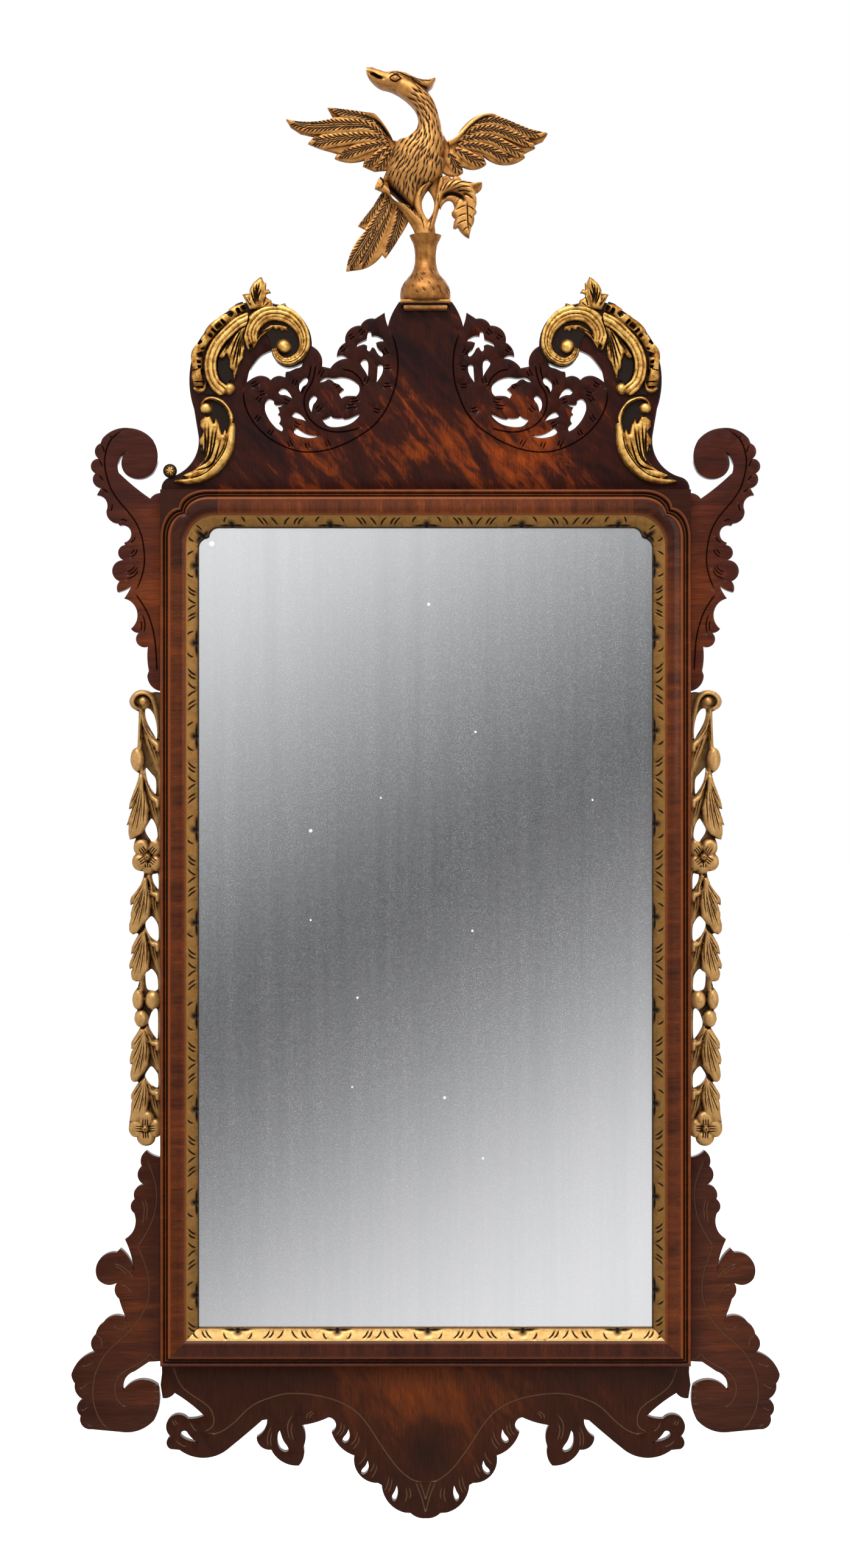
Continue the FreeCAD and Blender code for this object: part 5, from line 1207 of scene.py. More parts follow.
def finial_vase():
    """A turned vase cut flat behind, with slanted gouges round its belly."""
    sides = 168
    rng = np.random.default_rng(3)
    marks = [(rng.uniform(-1.4, 1.4), rng.uniform(*VASE_BELLY)) for _ in range(34)]
    z = np.linspace(VASE[0][0], VASE[-1][0], 90)
    outline = curve([(height, 10 * r) for height, r in VASE], 0.5)
    radius = np.interp(z, *outline.T) / 10
    turn = np.linspace(0, 2 * math.pi, sides, endpoint=False)
    dirt = np.zeros((len(z), sides))
    spots = []
    for i, (height, r) in enumerate(zip(z, radius)):
        for k, a in enumerate(turn):
            side = (a + math.pi) % (2 * math.pi) - math.pi
            deep = 0.0
            for where, level in marks:
                across = (side - where) * r * 0.8 + (height - level) * 0.6
                run = (height - level) * 0.8 - (side - where) * r * 0.6
                deep = max(deep, 1 - abs(across) - abs(run) / 4.5)
            # The gouges are darkened: dirt and painted shade.
            dirt[i, k] = max(deep, 0.0)
            near = r - 0.8 * dirt[i, k]
            spots.append((near * math.sin(a), min(VASE_AXIS - near * math.cos(a), FINIAL_BACK), height))
    name = "finial_vase_carved"
    # A low level gives the vase little of the gilding's lightening for raised parts (rubbed leaf and painted
    # highlight).
    mesh = mesh_of(name, spots, tube(len(z), sides), dirt=dirt.ravel(), level=np.full(len(spots), 0.2))
    add_piece(name, mesh, FINIAL_GOLD, ["finial_vase"], smooth=45)


def plinth_cap():
    """The moulded cap on the crest's neck, in front of the board."""
    spots, dirt = [], []
    for z, half, grime_and_shade in CAP:
        front = BOARD_FRONT - half * 0.5
        spots += [(-half, BOARD_FRONT, z), (-half, front, z), (half, front, z), (half, BOARD_FRONT, z)]
        # The cap's groove is darkened: dirt and painted shade.
        dirt += [grime_and_shade] * 4
    name = "plinth_cap_moulded"
    mesh = mesh_of(name, spots, tube(len(CAP), 4), dirt=dirt, level=np.full(len(spots), 0.4))
    add_piece(name, mesh, FINIAL_GOLD, ["plinth_cap"], smooth=40)


phoenix_body()
for node, back, carving, pitch in (
    ("phoenix_wing_left", WING_BACK, wing(WING_LEFT, LEFT_SHOULDER, LEFT_LINE), 1.0),
    ("phoenix_wing_right", WING_BACK, wing(WING_RIGHT, RIGHT_SHOULDER, RIGHT_LINE), 1.0),
    ("phoenix_tail", FINIAL_BACK, tail(), 1.0), ("finial_branches", WING_BACK, branches(), 1.2),
    ("finial_leaf", WING_BACK, finial_leaf(), 1.1),
):
    loops = [lobed(FINIAL_LEAF_EDGE)] if node == "finial_leaf" else front_loops(node)
    carved(node + "_carved", loops, back, carving, pitch, FINIAL_GOLD, [node], smooth=60)
finial_vase()
plinth_cap()


# Scrolls on the crest's shoulders and garlands beside the stiles, given for the left side; the right side is
# its mirror image. Scrolls: outlines as smooth runs that meet at corners, then the lines of their carving.
SPRIG_EDGE = [
    [(-168.5, 588), (-172.6, 596.2)], [(-168.5, 597), (-165.6, 597)],
    [(-165.6, 601), (-162.5, 606.5), (-158, 610.8), (-154.4, 613)], [(-152, 607.5)], [(-150, 607)],
    [(-150.3, 600.5)], [(-148, 601.2), (-145.6, 597.8)],
    [(-149.4, 597), (-150.4, 594.6), (-148.4, 592.4), (-145.4, 591)], [(-144.4, 588), (-142.6, 583.6)],
    [(-152, 583.4), (-160, 582.4), (-166, 581.8)],
]
ROCAILLE_EDGE = [
    [(-169, 584), (-172.5, 589.6)], [(-178, 587.6), (-181.5, 585), (-185.6, 582.2)],
    [(-183.6, 579.2), (-186, 577.6)], [(-191.5, 576.8), (-195.5, 573.5), (-198.5, 571.8)],
    [(-204, 567), (-208, 561.5), (-209.8, 556)],
    [(-213, 552), (-217, 547.5), (-220, 543), (-221, 537.5), (-220, 530.5)], [(-219.2, 527), (-220, 521.5)],
    [(-221, 514), (-219, 507.5), (-214.5, 503.2), (-207, 502.2)],
    [(-198, 501.6), (-190, 501.4), (-184.5, 502), (-179.4, 507), (-182, 512.6), (-186, 513.6)],
    [(-183.4, 516)], [(-180, 514.6), (-177.6, 521), (-176, 529), (-174.4, 533), (-171.6, 536)],
    [(-170.4, 542), (-170.4, 549), (-171.6, 556), (-170.2, 563), (-167.8, 570), (-167, 577)],
]
VOLUTE_EDGE = [
    [(-166.5, 543.4), (-168.5, 547.5), (-170.3, 553.5)], [(-170, 558), (-167.6, 566), (-165.2, 572)],
    [(-166, 575.6), (-160, 580), (-152, 583.2), (-144, 584.2), (-140, 583.6)],
    [(-137.5, 586.4), (-132.2, 588.2)],
    [(-130.2, 584.4), (-123, 580), (-115.5, 572), (-110.5, 562), (-109, 551), (-110.6, 541),
     (-115.5, 533.6), (-122.5, 529.2), (-131, 528.2), (-138.5, 531.6), (-143.6, 538), (-145.2, 544)],
    [(-145.4, 549), (-147.5, 555), (-151, 559)], [(-155.5, 555.8), (-159, 550.5), (-162.6, 544.4)],
]
SCROLL_EDGE = [
    [(-226, 416.8), (-214, 417.6), (-199.2, 424.4), (-187, 437), (-180, 453), (-178.2, 468)],
    [(-179.4, 474), (-182, 474.6)], [(-181.4, 482), (-186.5, 491.5), (-193.5, 498.2), (-202, 500.6)],
    [(-208, 498.6), (-212.4, 493), (-212.6, 488), (-209.4, 483.6)], [(-211.6, 478.6), (-212.4, 472)],
    [(-209.4, 467.4), (-210.6, 463.4)], [(-213.6, 459.4), (-213.2, 455), (-210.6, 453.4)],
    [(-212, 449.6), (-208.4, 446.4)], [(-210.4, 439.4), (-216.4, 431.6), (-227, 426.2), (-237.8, 419.6)],
]
C_SPINE = [(-167.5, 574.5), (-177.2, 569.4), (-187.5, 560.3), (-196.6, 549.9), (-202.4, 537), (-203.1, 524.1),
           (-199.2, 512.4), (-191, 504.6)]
BORDER = [(-171, 584), (-179, 580), (-188, 573.5), (-198, 566), (-206, 556), (-212.8, 546), (-215.4, 534),
          (-215, 521), (-212.5, 509)]
# Openings in the worn border, made as deep cuts darkened as painted shade where the real border is pierced:
# middle, half sizes, lean in degrees.
WINDOWS = [
    (-171.5, 583.5, 2.0, 3.6, 30), (-176.3, 580.6, 1.5, 3.6, 25), (-183.2, 577.6, 2.4, 3.4, 60),
    (-190.6, 570.4, 1.2, 3.4, 45), (-195, 566.4, 2.4, 4.4, -50), (-199.4, 562, 1.2, 3.4, 50),
    (-202.4, 557.4, 2.0, 2.8, -40), (-208.4, 560, 1.4, 2.4, -30), (-212.5, 551, 1.4, 3.2, -50),
    (-209.6, 545, 1.4, 1.6, 20), (-212, 539.4, 3.4, 4.0, 15), (-213.4, 532.6, 1.4, 2.6, 80),
    (-213, 528, 1.4, 2.4, 85), (-216.8, 525, 3.4, 1.8, 15), (-209.4, 523, 1.6, 3.4, 10),
    (-213.2, 514, 4.6, 1.8, 0), (-212.6, 509, 3.4, 2.4, 0),
]
ARCH = [(-164, 551), (-165.6, 559), (-162, 568.5), (-152, 577.4), (-138, 579.2), (-124.5, 573.6),
        (-115.8, 562.5), (-113.4, 550), (-117, 540.2), (-124.5, 534.2), (-132.5, 533), (-139.4, 537.4),
        (-142.4, 544.5)]
ARCH_SCALE = [0.8, 1, 1.05, 1.05, 1.05, 1, 0.85, 0.7, 0.6, 0.55, 0.5, 0.45, 0.35]
LEAF_BAND = [(-210.5, 493), (-207, 497), (-201, 498.4), (-192, 495), (-185.4, 487.4), (-182.2, 477),
             (-183.4, 464.5), (-186.6, 450.3), (-193.5, 438.4), (-202.5, 429), (-212, 423.4), (-224, 420.6),
             (-236.5, 420.4)]


def oval(x, z, half_x, half_z):
    """Points round an ellipse."""
    turn = np.linspace(0, 2 * math.pi, 24, endpoint=False)
    return np.stack([x + half_x * np.cos(turn), z + half_z * np.sin(turn)], 1)


def gouge(c, x, z, turn, length, width, depth):
    """A short straight cut about a point, in a direction given in degrees."""
    way = np.array([math.cos(math.radians(turn)), math.sin(math.radians(turn))]) * length / 2
    c.cut([np.array([x, z]) - way, (x, z), np.array([x, z]) + way], width, depth, step=0.7, taper=0.3)


def fan(c, root, tips, width, depth, soil_and_shade=0.8, bow=(0, 0), begin=0.12):
    """Flutes that spread from near one root to several tips, on the form made just before."""
    root = np.array(root, float)
    for tip in np.array(tips, float):
        start = root * (1 - begin) + tip * begin
        c.cut([start, root * 0.5 + tip * 0.5 + bow, tip], width, depth, own=True, taper=0.3, soil_and_shade=soil_and_shade)


def rocaille(c):
    """Border with dark windows (painted shade for its piercings), fluted leaf, then a ribbed C scroll with
    its eyes.
    """
    c.band(BORDER, [9, 13, 13, 13, 13, 14, 13, 12, 11], [5.8, 6, 6.4, 6.6, 6.6, 6.6, 6.6, 6.4, 6],
           hollow=0.12)
    for x, z, half_x, half_z, lean in WINDOWS:
        a = math.radians(lean)
        way = np.array([-math.sin(a), math.cos(a)]) * max(half_z - half_x * 0.5, 0.4)
        c.cut([np.array([x, z]) - way, (x, z), np.array([x, z]) + way], half_x * 2.6, 4.4, step=0.6,
              taper=0.12)
    c.blade([(-170, 570), (-179, 561), (-188, 549), (-196, 537.5), (-193, 535.6), (-189, 537),
             (-187.5, 540.5), (-184.5, 534), (-184.4, 527), (-181.5, 524), (-180.5, 516.5), (-178.5, 521),
             (-176, 529), (-172, 536), (-170.6, 545), (-171.6, 556), (-169, 566)],
            4.4, 6.8, 5.0, tilt=(0.03, 0.01))
    fan(c, (-170, 569),
        [(-194, 539), (-191, 538.5), (-187.6, 542), (-184.6, 535), (-182.4, 526), (-179.4, 522),
         (-175.4, 533), (-172.6, 543)],
        1.7, 2.0, bow=(-0.6, 1.6))
    for distance, width, top in ((4.6, 4.4, 2.8), (0.9, 5.6, 3.8), (-2.8, 4.4, 2.8)):
        c.band(offset(C_SPINE, distance), width, top, level=4.2)
    c.cut(offset(C_SPINE, 6.9), 1.6, 3.0, taper=0.1)
    c.ball(-184.6, 507.4, 5.6, 8)
    c.band([(-217.4, 507.6), (-213.4, 505), (-208.6, 507), (-206.8, 512)], [3, 4, 4, 3], 6.6)


def volute(c):
    """Ribs that wind into an eye, with a leaf at the root."""
    for distance, width, top in ((3.8, 6.6, 4.0), (0.2, 4.8, 4.4), (-3.0, 4.4, 3.6), (-5.8, 4.0, 2.8)):
        line = offset(ARCH, [distance * scale for scale in ARCH_SCALE])
        c.band(line, width * np.interp(shares(line), shares(ARCH), ARCH_SCALE), top, level=3.4)
    c.blade([(-164, 549), (-160, 556), (-153, 563), (-146, 567.6), (-138, 568), (-130, 566),
             (-130.4, 561.6), (-133, 563.4), (-135.6, 561.4), (-138, 564.4), (-141, 562.4), (-143.6, 565),
             (-150, 560), (-155.6, 552.6), (-158.6, 546.8), (-162.4, 545)],
            3.0, 4.6, 2.4)
    fan(c, (-163, 547), [(-150, 563), (-142, 566), (-134, 565)], 1.3, 1.2, bow=(-2.4, 2.6))
    c.band([(-166.4, 545), (-168, 551), (-166.4, 557)], [3, 5, 4], [5.4, 7, 7])
    c.band([(-138.6, 581.6), (-134.6, 584.6), (-132.4, 587)], [5, 5, 1.5], [6.6, 6.4, 5])
    c.ball(-133.6, 546.9, 7.4, 8)
    c.cut(offset(ARCH[7:], 3.0), 1.0, 1.0, soil_and_shade=0.6)


def sprig(c):
    """Three fluted leaves."""
    c.blade(lobed(SPRIG_EDGE), 3.6, 5.4, 2.4)
    c.blade([(-163.5, 583), (-166, 590), (-165.4, 598), (-162, 606), (-154.6, 612.4), (-152.4, 606),
             (-152.8, 597), (-155.4, 589), (-156.6, 583.4)],
            5.0, 7.8, 4.0, tilt=(-0.05, 0))
    fan(c, (-158, 582), [(-164.4, 600), (-161.6, 604.6), (-158.6, 607.6), (-155.8, 608.6), (-154, 602)],
        1.6, 2.0, bow=(-1.2, 1))
    c.blade([(-166, 582.4), (-172, 595.6), (-166.4, 595.6), (-162.4, 588), (-160.6, 583)], 4.6, 6.6, 2.6)
    fan(c, (-163, 582.6), [(-170, 594), (-166.6, 593.4)], 1.2, 1.2)
    c.blade([(-156.4, 583.4), (-153.6, 592), (-150.6, 599), (-146.4, 598.4), (-150.6, 595), (-148.8, 591.6),
             (-145.4, 590.2), (-143.4, 584)],
            4.4, 6.4, 2.6)
    fan(c, (-153, 583.6), [(-149.6, 597.4), (-151.6, 592), (-146.6, 588.6)], 1.2, 1.2)


def leaf_scroll(c):
    """A fluted leaf along the inside of a band that ends in an eye."""
    c.blade([(-203, 481.6), (-208, 481.4), (-212, 477), (-212, 472), (-208.8, 467.2), (-210.4, 463),
             (-213.2, 459), (-212.8, 455.2), (-210, 453.2), (-211.4, 449.8), (-208, 446.2), (-210.6, 438.6),
             (-217, 431.4), (-229, 425.6), (-222, 421.4), (-206, 427), (-194, 438), (-187.6, 452),
             (-186, 464), (-188.4, 470), (-191.6, 464.6), (-194.4, 474), (-197.4, 480), (-199.4, 475)],
            3.4, 6.4, 4.4)
    fan(c, (-224, 424.6), [(-207.4, 476), (-203.6, 477), (-199.6, 472), (-195.6, 474), (-191.8, 462)], 1.8,
        2.2, bow=(7, -7))
    fan(c, (-214, 433), [(-210.6, 457), (-209, 450), (-206.4, 464)], 1.6, 1.8, bow=(3, -3))
    c.band(LEAF_BAND, [3, 3.6, 4, 4.4, 4.6, 5.4, 9, 12, 12, 11, 9, 6.5, 2],
           [6, 6.5, 6.8, 7, 7, 7.4, 8, 8, 8, 7.6, 7, 6, 4])
    for distance in (-1.8, -3.8):
        c.cut(offset(LEAF_BAND[6:12], distance), 1.2, 1.6, taper=0.12, own=True)
    c.cut(offset(LEAF_BAND[1:6], -0.8), 1.0, 1.2)
    c.ball(-206.8, 489.2, 6.0, 8)


ROSETTE = np.array([-240.8, 430.2])
ROSETTE_RADIUS = 6.5


def rosette(c):
    """A button with petals cut round it."""
    c.ball(*ROSETTE, 6.4, 5.5)
    for k in range(6):
        a = math.radians(60 * k + 20)
        for reach, late, turn, length, width, depth in ((3.2, 0, 20, 5, 1.1, 1.0),
                                                        (3.6, 0.5, 138, 4, 0.9, 0.8)):
            x, z = ROSETTE + (reach * math.cos(a + late), reach * math.sin(a + late))
            gouge(c, x, z, 60 * k + turn, length, width, depth)


# Garlands beside the stiles. The outline runs down the outer side in smooth runs that meet at corners.
GARLAND_EDGE = [
    [(-254, 222), (-258.5, 221.5)],
    [(-264, 224), (-271, 223.5), (-277, 219.5), (-279.8, 213.5), (-278, 207.8), (-273, 204.3),
     (-270.8, 203.3)],
    [(-271, 190), (-271.8, 170)],
    [(-276.5, 166.5), (-278.4, 158), (-276, 150), (-271.5, 145.6), (-270.3, 145)],
    [(-272, 137.5), (-276, 127), (-279.2, 117.5), (-280.3, 111)], [(-277, 112.3)],
    [(-279.6, 104.5), (-282.3, 95.8)], [(-280.2, 97)], [(-280.6, 90), (-279.3, 82.4)],
    [(-275.5, 83.2), (-273.5, 84)], [(-275, 79), (-275.2, 73), (-273.5, 69.5)],
    [(-276.3, 65), (-276.5, 59), (-273.5, 54.5), (-268.5, 52.6)], [(-266, 52), (-266.5, 47)],
    [(-269.5, 39.5), (-274, 33), (-278, 28), (-279, 23.5), (-278.4, 20.3)], [(-275.8, 22.2)],
    [(-278.4, 13), (-278.2, 8.5)], [(-279.9, 2), (-279.4, -4), (-276.6, -7.3)], [(-272.5, -6), (-271, -7)],
    [(-274.5, -13), (-277.5, -20), (-278.2, -26.2)], [(-275.4, -24.6)],
    [(-278.3, -31), (-280, -36), (-279.2, -40)], [(-276.6, -38.6)],
    [(-278.2, -44), (-276.8, -49.5), (-273.5, -51.7)], [(-271, -51.3), (-270.4, -52), (-271.8, -57)],
    [(-275.3, -62), (-276.6, -69), (-274.8, -76), (-272.2, -78.6)],
    [(-274.6, -83), (-274.3, -90), (-271, -94), (-269.3, -94.8)],
    [(-273, -101), (-277.5, -108.5), (-277.9, -115.5)], [(-276.2, -114.8)],
    [(-278.6, -121), (-279.4, -126), (-278.6, -130.3)], [(-277, -129.4)],
    [(-278.6, -137), (-278.2, -143.5), (-275.6, -146.6)], [(-272.2, -146), (-270.8, -146.5)],
    [(-274.5, -152), (-277.8, -158), (-278, -163.2)], [(-277, -162.4)],
    [(-278.2, -169), (-278.4, -175), (-279.8, -184.5)],
    [(-280, -190), (-279.6, -193), (-276.5, -197.5), (-272.5, -198.3)],
    [(-271.5, -203), (-267, -206.6), (-261, -206.6), (-256.5, -203.5), (-255, -198.8)],
    [(-252, -198), (-249, -195.5)], [(-249, 221)],
]
GARLAND_GAPS = [
    [(-264.8, 205.5), (-261, 206), (-257, 201), (-253.8, 191), (-253.6, 178), (-257, 182), (-261.5, 190),
     (-264.5, 198)],
    [(-264.2, 150.5), (-259, 145), (-254.8, 139), (-254.8, 126), (-258, 129), (-262, 136), (-264.2, 144)],
    [(-265, 91), (-262, 98), (-258.8, 102.3), (-255, 97), (-253.4, 90), (-253.6, 83.5), (-257.5, 80.5),
     (-261, 83.5)],
    [(-258.4, 49), (-255.5, 50), (-252.5, 49.5), (-252.2, 36), (-255, 38.5), (-257.5, 43)],
    [(-264.8, 2.5), (-262, 7.5), (-258.6, 10), (-254.5, 5.5), (-252.2, -1), (-252.5, -12.5), (-257, -11.5),
     (-262, -6)],
    [(-264.8, -45), (-262, -42), (-258.6, -39.8), (-254.5, -44.5), (-253, -50), (-253, -59), (-258, -60),
     (-263.5, -58)],
    [(-258, -79.5), (-253.2, -78.5), (-253, -104.5), (-256, -103.5), (-260, -97), (-262, -91.5),
     (-260.6, -85)],
    [(-265, -141), (-262.5, -135.5), (-259, -131.8), (-254.8, -136), (-252.6, -141), (-252.8, -151.5),
     (-257, -150.5), (-262, -146.5)],
]
# Big leaves on the outer side: the runs of the outline that edge them, root, inner edge, tips.
GARLAND_LEAVES = [
    (range(4, 10), (-266, 143), [(-268, 87.5), (-262, 97), (-260.5, 112), (-265, 130)],
     [(-279, 113.5), (-280.5, 99), (-278.5, 86), (-273.5, 86.5), (-266.5, 93)]),
    (range(13, 18), (-262.5, 47), [(-266.5, 2), (-260, 9), (-258.5, 24), (-261.5, 38)],
     [(-277, 23), (-276.5, 11), (-277.5, -3), (-271.5, -2), (-264.5, 9)]),
    (range(18, 24), (-264.5, -1), [(-266, -47), (-260.5, -39.5), (-260, -25), (-263, -10)],
     [(-276.5, -24), (-277.5, -37), (-275, -48), (-269.5, -47), (-263, -38)]),
    (range(26, 32), (-264.5, -96), [(-266.5, -138), (-261.5, -130.5), (-260, -117), (-262.5, -104)],
     [(-276, -113), (-277.5, -128), (-275.5, -143), (-270, -141), (-264, -131)]),
    (range(32, 35), (-264.5, -141), [(-272, -185), (-263, -176), (-260, -160), (-262.5, -148)],
     [(-276.5, -161), (-277.5, -178), (-271, -180), (-265, -174)]),
]
# Small leaves that curl over towards the stile: root and level of the curled tip.
GARLAND_CURLS = [
    ((-268, 203), 168), ((-266, 148), 115), ((-262, 50), 26.5), ((-264.5, 1), -20.5), ((-264.5, -94), -114),
    ((-264.5, -140), -160.5),
]
# Berries and petals: middle, half width, half height, rise.
GARLAND_BERRIES = [(-272, 158, 6.6, 12, 11.4), (-271, -68.5, 5.8, 10, 10.8), (-257.4, -69, 8, 9.2, 11.6),
                   (-268.2, -86.3, 6.7, 8.6, 11.2)]
GARLAND_PETALS = [(-261.8, 55.8, 6.4, 6.4, 8.6), (-268.6, 75.2, 8.2, 8.4, 9.4), (-254.8, 75, 7.2, 8.8, 9.8),
                  (-270, 60.8, 7.8, 8.8, 9.2), (-254.6, 60.4, 7, 7.8, 9.8), (-263.6, -199.4, 9, 7.4, 9.2),
                  (-264, -180.8, 8.6, 8, 9.8), (-273.2, -190.2, 7.6, 9, 9.4),
                  (-254.8, -189.8, 6.6, 9.2, 9.6)]
GARLAND_HEARTS = [(-262.4, 66.2), (-264.4, -190.5)]
GARLAND_CURL = [(-252.5, 178), (-252.8, 192), (-255, 206), (-259, 216.5), (-265.5, 220.8), (-272.5, 219.2),
                (-276.2, 213), (-274, 207.6), (-268.5, 206)]


def garland(c):
    """Stems, big leaves, curled leaves, the scroll at the top, then flowers and berries."""
    c.band([(-251, 178), (-251, -200)], 5, 5.4)
    c.band([(-268.6, 206), (-269, 188), (-270, 168)], [5, 6, 6.5], 8.0)
    c.cut([(-268, 200), (-268.6, 186), (-269.4, 172)], 1.0, 1.0, soil_and_shade=0.6)
    c.band([(-268, 150), (-268, 140)], 5.5, 8)
    c.band([(-268, -47), (-268.4, -60)], [4, 6.5], 7.6)
    for (x, z), low in GARLAND_CURLS:
        drop = z - low
        c.band([(x + 1, z), (x + 5, z - drop * 0.62), (-256, low - 3), (-252, low - 19)], [4, 10, 14, 9],
               [6.5, 7.4, 6.8, 5.6])
        for side, end in ((0, -254), (3, -251.5)):
            c.cut([(x + 2 + side, z - 8), (x + 6 + side, z - drop * 0.7), (end - 2, low - 6),
                   (end, low - 14)],
                  1.1, 0.9, own=True, soil_and_shade=0.7)
    for runs, root, inner, tips in GARLAND_LEAVES:
        outer = [p for k in runs for p in run_of(GARLAND_EDGE, k)]
        c.blade(np.vstack([root, outer, inner]), 5.6, 9.2, 5.0, tilt=(0.06, 0.0))
        fan(c, root, tips, 1.4, 1.0, soil_and_shade=0.6, bow=(1.2, 1.5), begin=0.15)
        for a, b in zip(tips, tips[1:]):
            end = (np.array(a) + b) / 2 * 0.9 + np.array(root) * 0.1
            start = np.array(root) * 0.6 + end * 0.4
            c.cut([start, (start + end) / 2 + (0.8, 0.8), end], 1.0, 0.5, own=True, soil_and_shade=0.25)
    for (x, z), low in GARLAND_CURLS:
        drop = z - low
        c.band([(x, z - 2), (x + 3.5, z - drop * 0.45), (-258, low + drop * 0.24), (-253, low + 3.5),
                (-252.4, low - 0.5)],
               [4, 6, 8, 9, 7], [7.6, 8.6, 9.6, 11.2, 11.6])
        for side in (-1.4, 1.2):
            c.cut([(x + side, z - 6), (x + 3.5 + side, z - drop * 0.46), (-258 + side, low + drop * 0.26)],
                  1.1, 1.0, own=True, soil_and_shade=0.7)
    c.ball(-267, 213.2, 10, 8.4)
    c.band(GARLAND_CURL, [4, 5, 6, 7, 7.5, 7.5, 7, 6, 3], [6, 7, 8, 9, 10, 10.4, 10.4, 10, 9])
    c.cut(offset(GARLAND_CURL[2:], 2.2), 1.3, 1.6, soil_and_shade=0.8)
    c.ball(-266.6, 213.2, 6.2, 11.4)
    for x, z, half_x, half_z, rise in GARLAND_PETALS:
        c.blade(oval(x, z, half_x, half_z), 4.6, rise, 5.6)
        heart = min(GARLAND_HEARTS, key=lambda h: math.hypot(h[0] - x, h[1] - z))
        way = np.array([x - heart[0], z - heart[1]]) / math.hypot(x - heart[0], z - heart[1])
        side = np.array([-way[1], way[0]])
        for shift in (-2.2, 0, 2.2):
            middle = np.array([x, z]) + side * shift
            c.cut([middle - way * 7, middle - way * 3.5, middle + way * 0.6], 1.5, 1.2, own=True, soil_and_shade=0.5)
    for x, z in GARLAND_HEARTS:
        c.ball(x, z, 4.6, 11.2)
        for k in range(3):
            gouge(c, x, z, 60 * k + 15, 5, 0.9, 0.7)
    for x, z, half_x, half_z, rise in GARLAND_BERRIES:
        c.blade(oval(x, z, half_x, half_z), 5.5, rise, min(half_x, half_z))


ROSETTE_LOOP = oval(*ROSETTE, ROSETTE_RADIUS, ROSETTE_RADIUS)
GAPS = [curve(gap, 1.2, closed=True) for gap in GARLAND_GAPS]
BOTH = ("left", "right")
GARLAND_BACK = -8.0
SCROLL = (BOARD_FRONT, 0.9, SCROLL_GOLD, "scroll_gilding")
GARLAND = (GARLAND_BACK, 1.1, GARLAND_GOLD, "garland_gilding")
# Each piece: sides, outline and gaps, carving, blank (edge, full, reach), darkening of the ground between the
# forms (dirt and painted shade), how it is made.
for kind, hands, loops, carve, blank, ground, (back, pitch, gold, slot) in (
    ("rocaille", BOTH, [lobed(ROCAILLE_EDGE)], rocaille, (2.2, 2.4, 1.5), 1.0, SCROLL),
    ("volute", BOTH, [lobed(VOLUTE_EDGE)], volute, (2.0, 2.2, 1.5), 1.0, SCROLL),
    ("leaf_sprig", BOTH, [lobed(SPRIG_EDGE)], sprig, (2.6, 3.4, 2), 1.0, SCROLL),
    ("leaf_scroll", BOTH, [lobed(SCROLL_EDGE)], leaf_scroll, (2.0, 2.2, 1.5), 1.0, SCROLL),
    ("rosette", BOTH[:1], [lobed([ROSETTE_LOOP])], rosette, (2.0, 4.0, 2), 1.0, SCROLL),
    ("garland", BOTH, [lobed(GARLAND_EDGE), *GAPS], garland, (3.2, 3.8, 1.6), 0.5, GARLAND),
):
    for side in hands:
        form = Carving(*blank, flip=side == "right", ground=ground)
        carve(form)
        carved(f"{kind}_{side}_carved", [loop * form.turn for loop in loops], back, form, pitch, gold,
               [f"{kind}_{side}"], smooth=60)


# Studio: white surround, a pale floor, soft lamps, and a graded grey card that only reflections see.
AMBIENT, SURROUND = 0.42, 1.0
FLOOR = -0.63
CARD_Y = -5.0
CARD_SLOPE = 0.62


def studio():
    """A world that is white to the camera, to reflections and through glass, and dimmer as light."""
    world = bpy.data.worlds.new("studio")
    bpy.context.scene.world = world
    world.use_nodes = True
    tree = world.node_tree
    tree.nodes.clear()
    rays = tree.nodes.new("ShaderNodeLightPath").outputs
    seen = tree.nodes.new("ShaderNodeMath")
    seen.operation = "MAXIMUM"
    tree.links.new(rays["Is Camera Ray"], seen.inputs[0])
    shown = tree.nodes.new("ShaderNodeMath")
    shown.operation = "MAXIMUM"
    tree.links.new(rays["Is Glossy Ray"], shown.inputs[0])
    tree.links.new(rays["Is Transmission Ray"], shown.inputs[1])
    tree.links.new(shown.outputs[0], seen.inputs[1])
    pick = tree.nodes.new("ShaderNodeMixShader")
    tree.links.new(seen.outputs[0], pick.inputs[0])
    for socket, strength in ((1, AMBIENT), (2, SURROUND)):
        glow = tree.nodes.new("ShaderNodeBackground")
        glow.inputs["Color"].default_value = (1, 1, 1, 1)
        glow.inputs["Strength"].default_value = strength
        tree.links.new(glow.outputs[0], pick.inputs[socket])
    tree.links.new(pick.outputs[0], tree.nodes.new("ShaderNodeOutputWorld").inputs[0])


def sheet_of(name, corners, material):
    """A flat sheet that belongs to the studio, not to the part."""
    mesh = bpy.data.meshes.new(name)
    mesh.from_pydata(corners, [], [(0, 1, 2, 3)])
    mesh.materials.append(material)
    made = bpy.data.objects.new(name, mesh)
    bpy.context.scene.collection.objects.link(made)
    return made


def lamp(name, place, aim, size, power):
    data = bpy.data.lights.new(name, "AREA")
    data.shape, data.size, data.size_y, data.energy = "RECTANGLE", *size, power
    made = bpy.data.objects.new(name, data)
    made.location = place
    made.rotation_euler = (Vector(aim) - Vector(place)).to_track_quat("-Z", "Y").to_euler()
    bpy.context.scene.collection.objects.link(made)


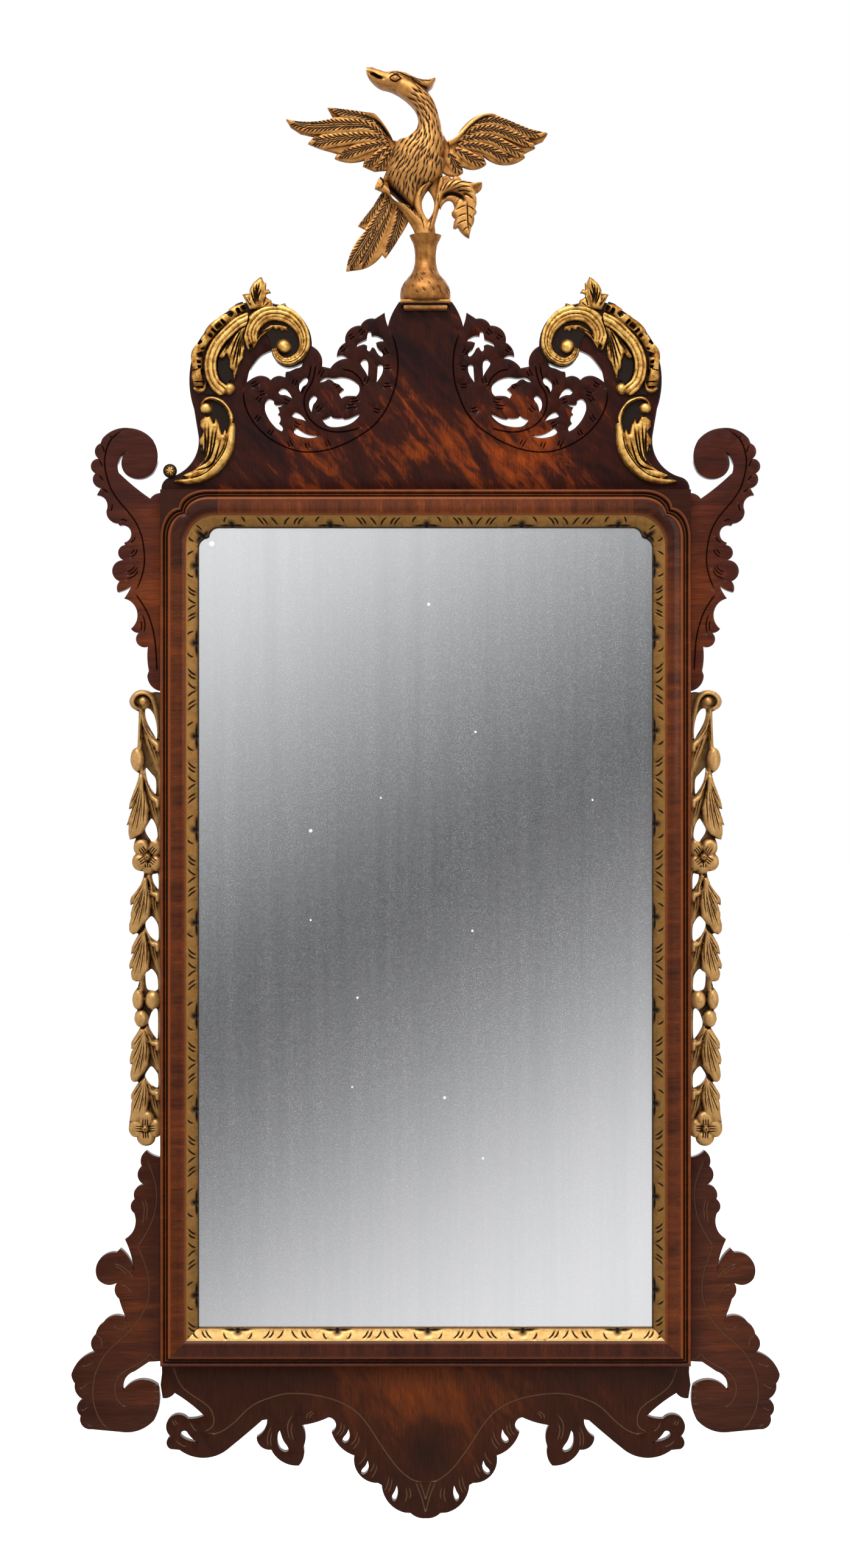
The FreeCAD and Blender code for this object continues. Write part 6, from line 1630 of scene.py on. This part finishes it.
studio()
floor = Shader("pale_floor", Roughness=0.9, Specular_IOR_Level=0.0, Emission_Strength=0.66)
floor.out("Base Color",
          floor.ramp(floor.noise(3.0, detail=2), (0.3, rgb(236, 236, 236)), (0.7, rgb(242, 242, 242))))
seen = floor.node("LightPath").outputs["Is Camera Ray"]
floor.out("Emission Color", floor.ramp(seen, (0.0, 0.0), (1.0, 1.0)))
sheet_of("floor", [(-30, -30, FLOOR), (30, -30, FLOOR), (30, 30, FLOOR), (-30, 30, FLOOR)],
         floor.material).visible_glossy = False

card = Shader("grey_card", Emission_Strength=1.0, Specular_IOR_Level=0.0)
card.out("Base Color", (0, 0, 0, 1))
place = card.node("SeparateXYZ", {0: card.place}).outputs
slope = card.math("MULTIPLY", place["X"], CARD_SLOPE)
height = card.math("SUBTRACT", place["Z"], slope)
graded = card.node("MapRange", {0: height, 1: -1.55, 2: 1.35, 3: 0.0, 4: 1.0}).outputs[0]
card.out("Emission Color",
         card.ramp(graded, (0.0, rgb(239, 239, 240)), (0.16, rgb(208, 208, 209)),
                   (0.30, rgb(149, 149, 150)), (0.44, rgb(102, 102, 103)), (0.54, rgb(102, 103, 104)),
                   (0.68, rgb(158, 159, 160)), (0.82, rgb(206, 207, 208)), (1.0, rgb(244, 244, 245)),
                   smooth="B_SPLINE"))
screen = sheet_of("grey_card", [(-7, CARD_Y, -6), (7, CARD_Y, -6), (7, CARD_Y, 6), (-7, CARD_Y, 6)],
                  card.material)
screen.visible_camera = screen.visible_diffuse = screen.visible_shadow = False

lamp("key", (-0.5, -2.1, 2.5), (0, 0, 0.2), (2.4, 1.4), 80)
lamp("fill", (1.8, -2.4, 0.9), (0, 0, 0.1), (1.2, 1.6), 18)
lamp("top", (0.1, -0.6, 2.6), (0, 0, 0.2), (1.8, 0.8), 22)
lamp("behind", (0.4, 2.6, 1.4), (0, 0, 0.1), (2.0, 1.6), 40)

# Camera: square on, at the height of the picture's middle.
DISTANCE = 2.6
VIEW_HEIGHT = 1.4745
VIEW_X, VIEW_Z = -0.0005, 0.135
lens = bpy.data.cameras.new("camera")
lens.lens = lens.sensor_width * DISTANCE / VIEW_HEIGHT
eye = bpy.data.objects.new("camera", lens)
eye.location = (VIEW_X, CARCASS_FRONT * MM - DISTANCE, VIEW_Z)
eye.rotation_euler = (math.pi / 2, 0, 0)
bpy.context.scene.collection.objects.link(eye)
bpy.context.scene.camera = eye
bpy.context.scene.view_settings.view_transform = "Standard"
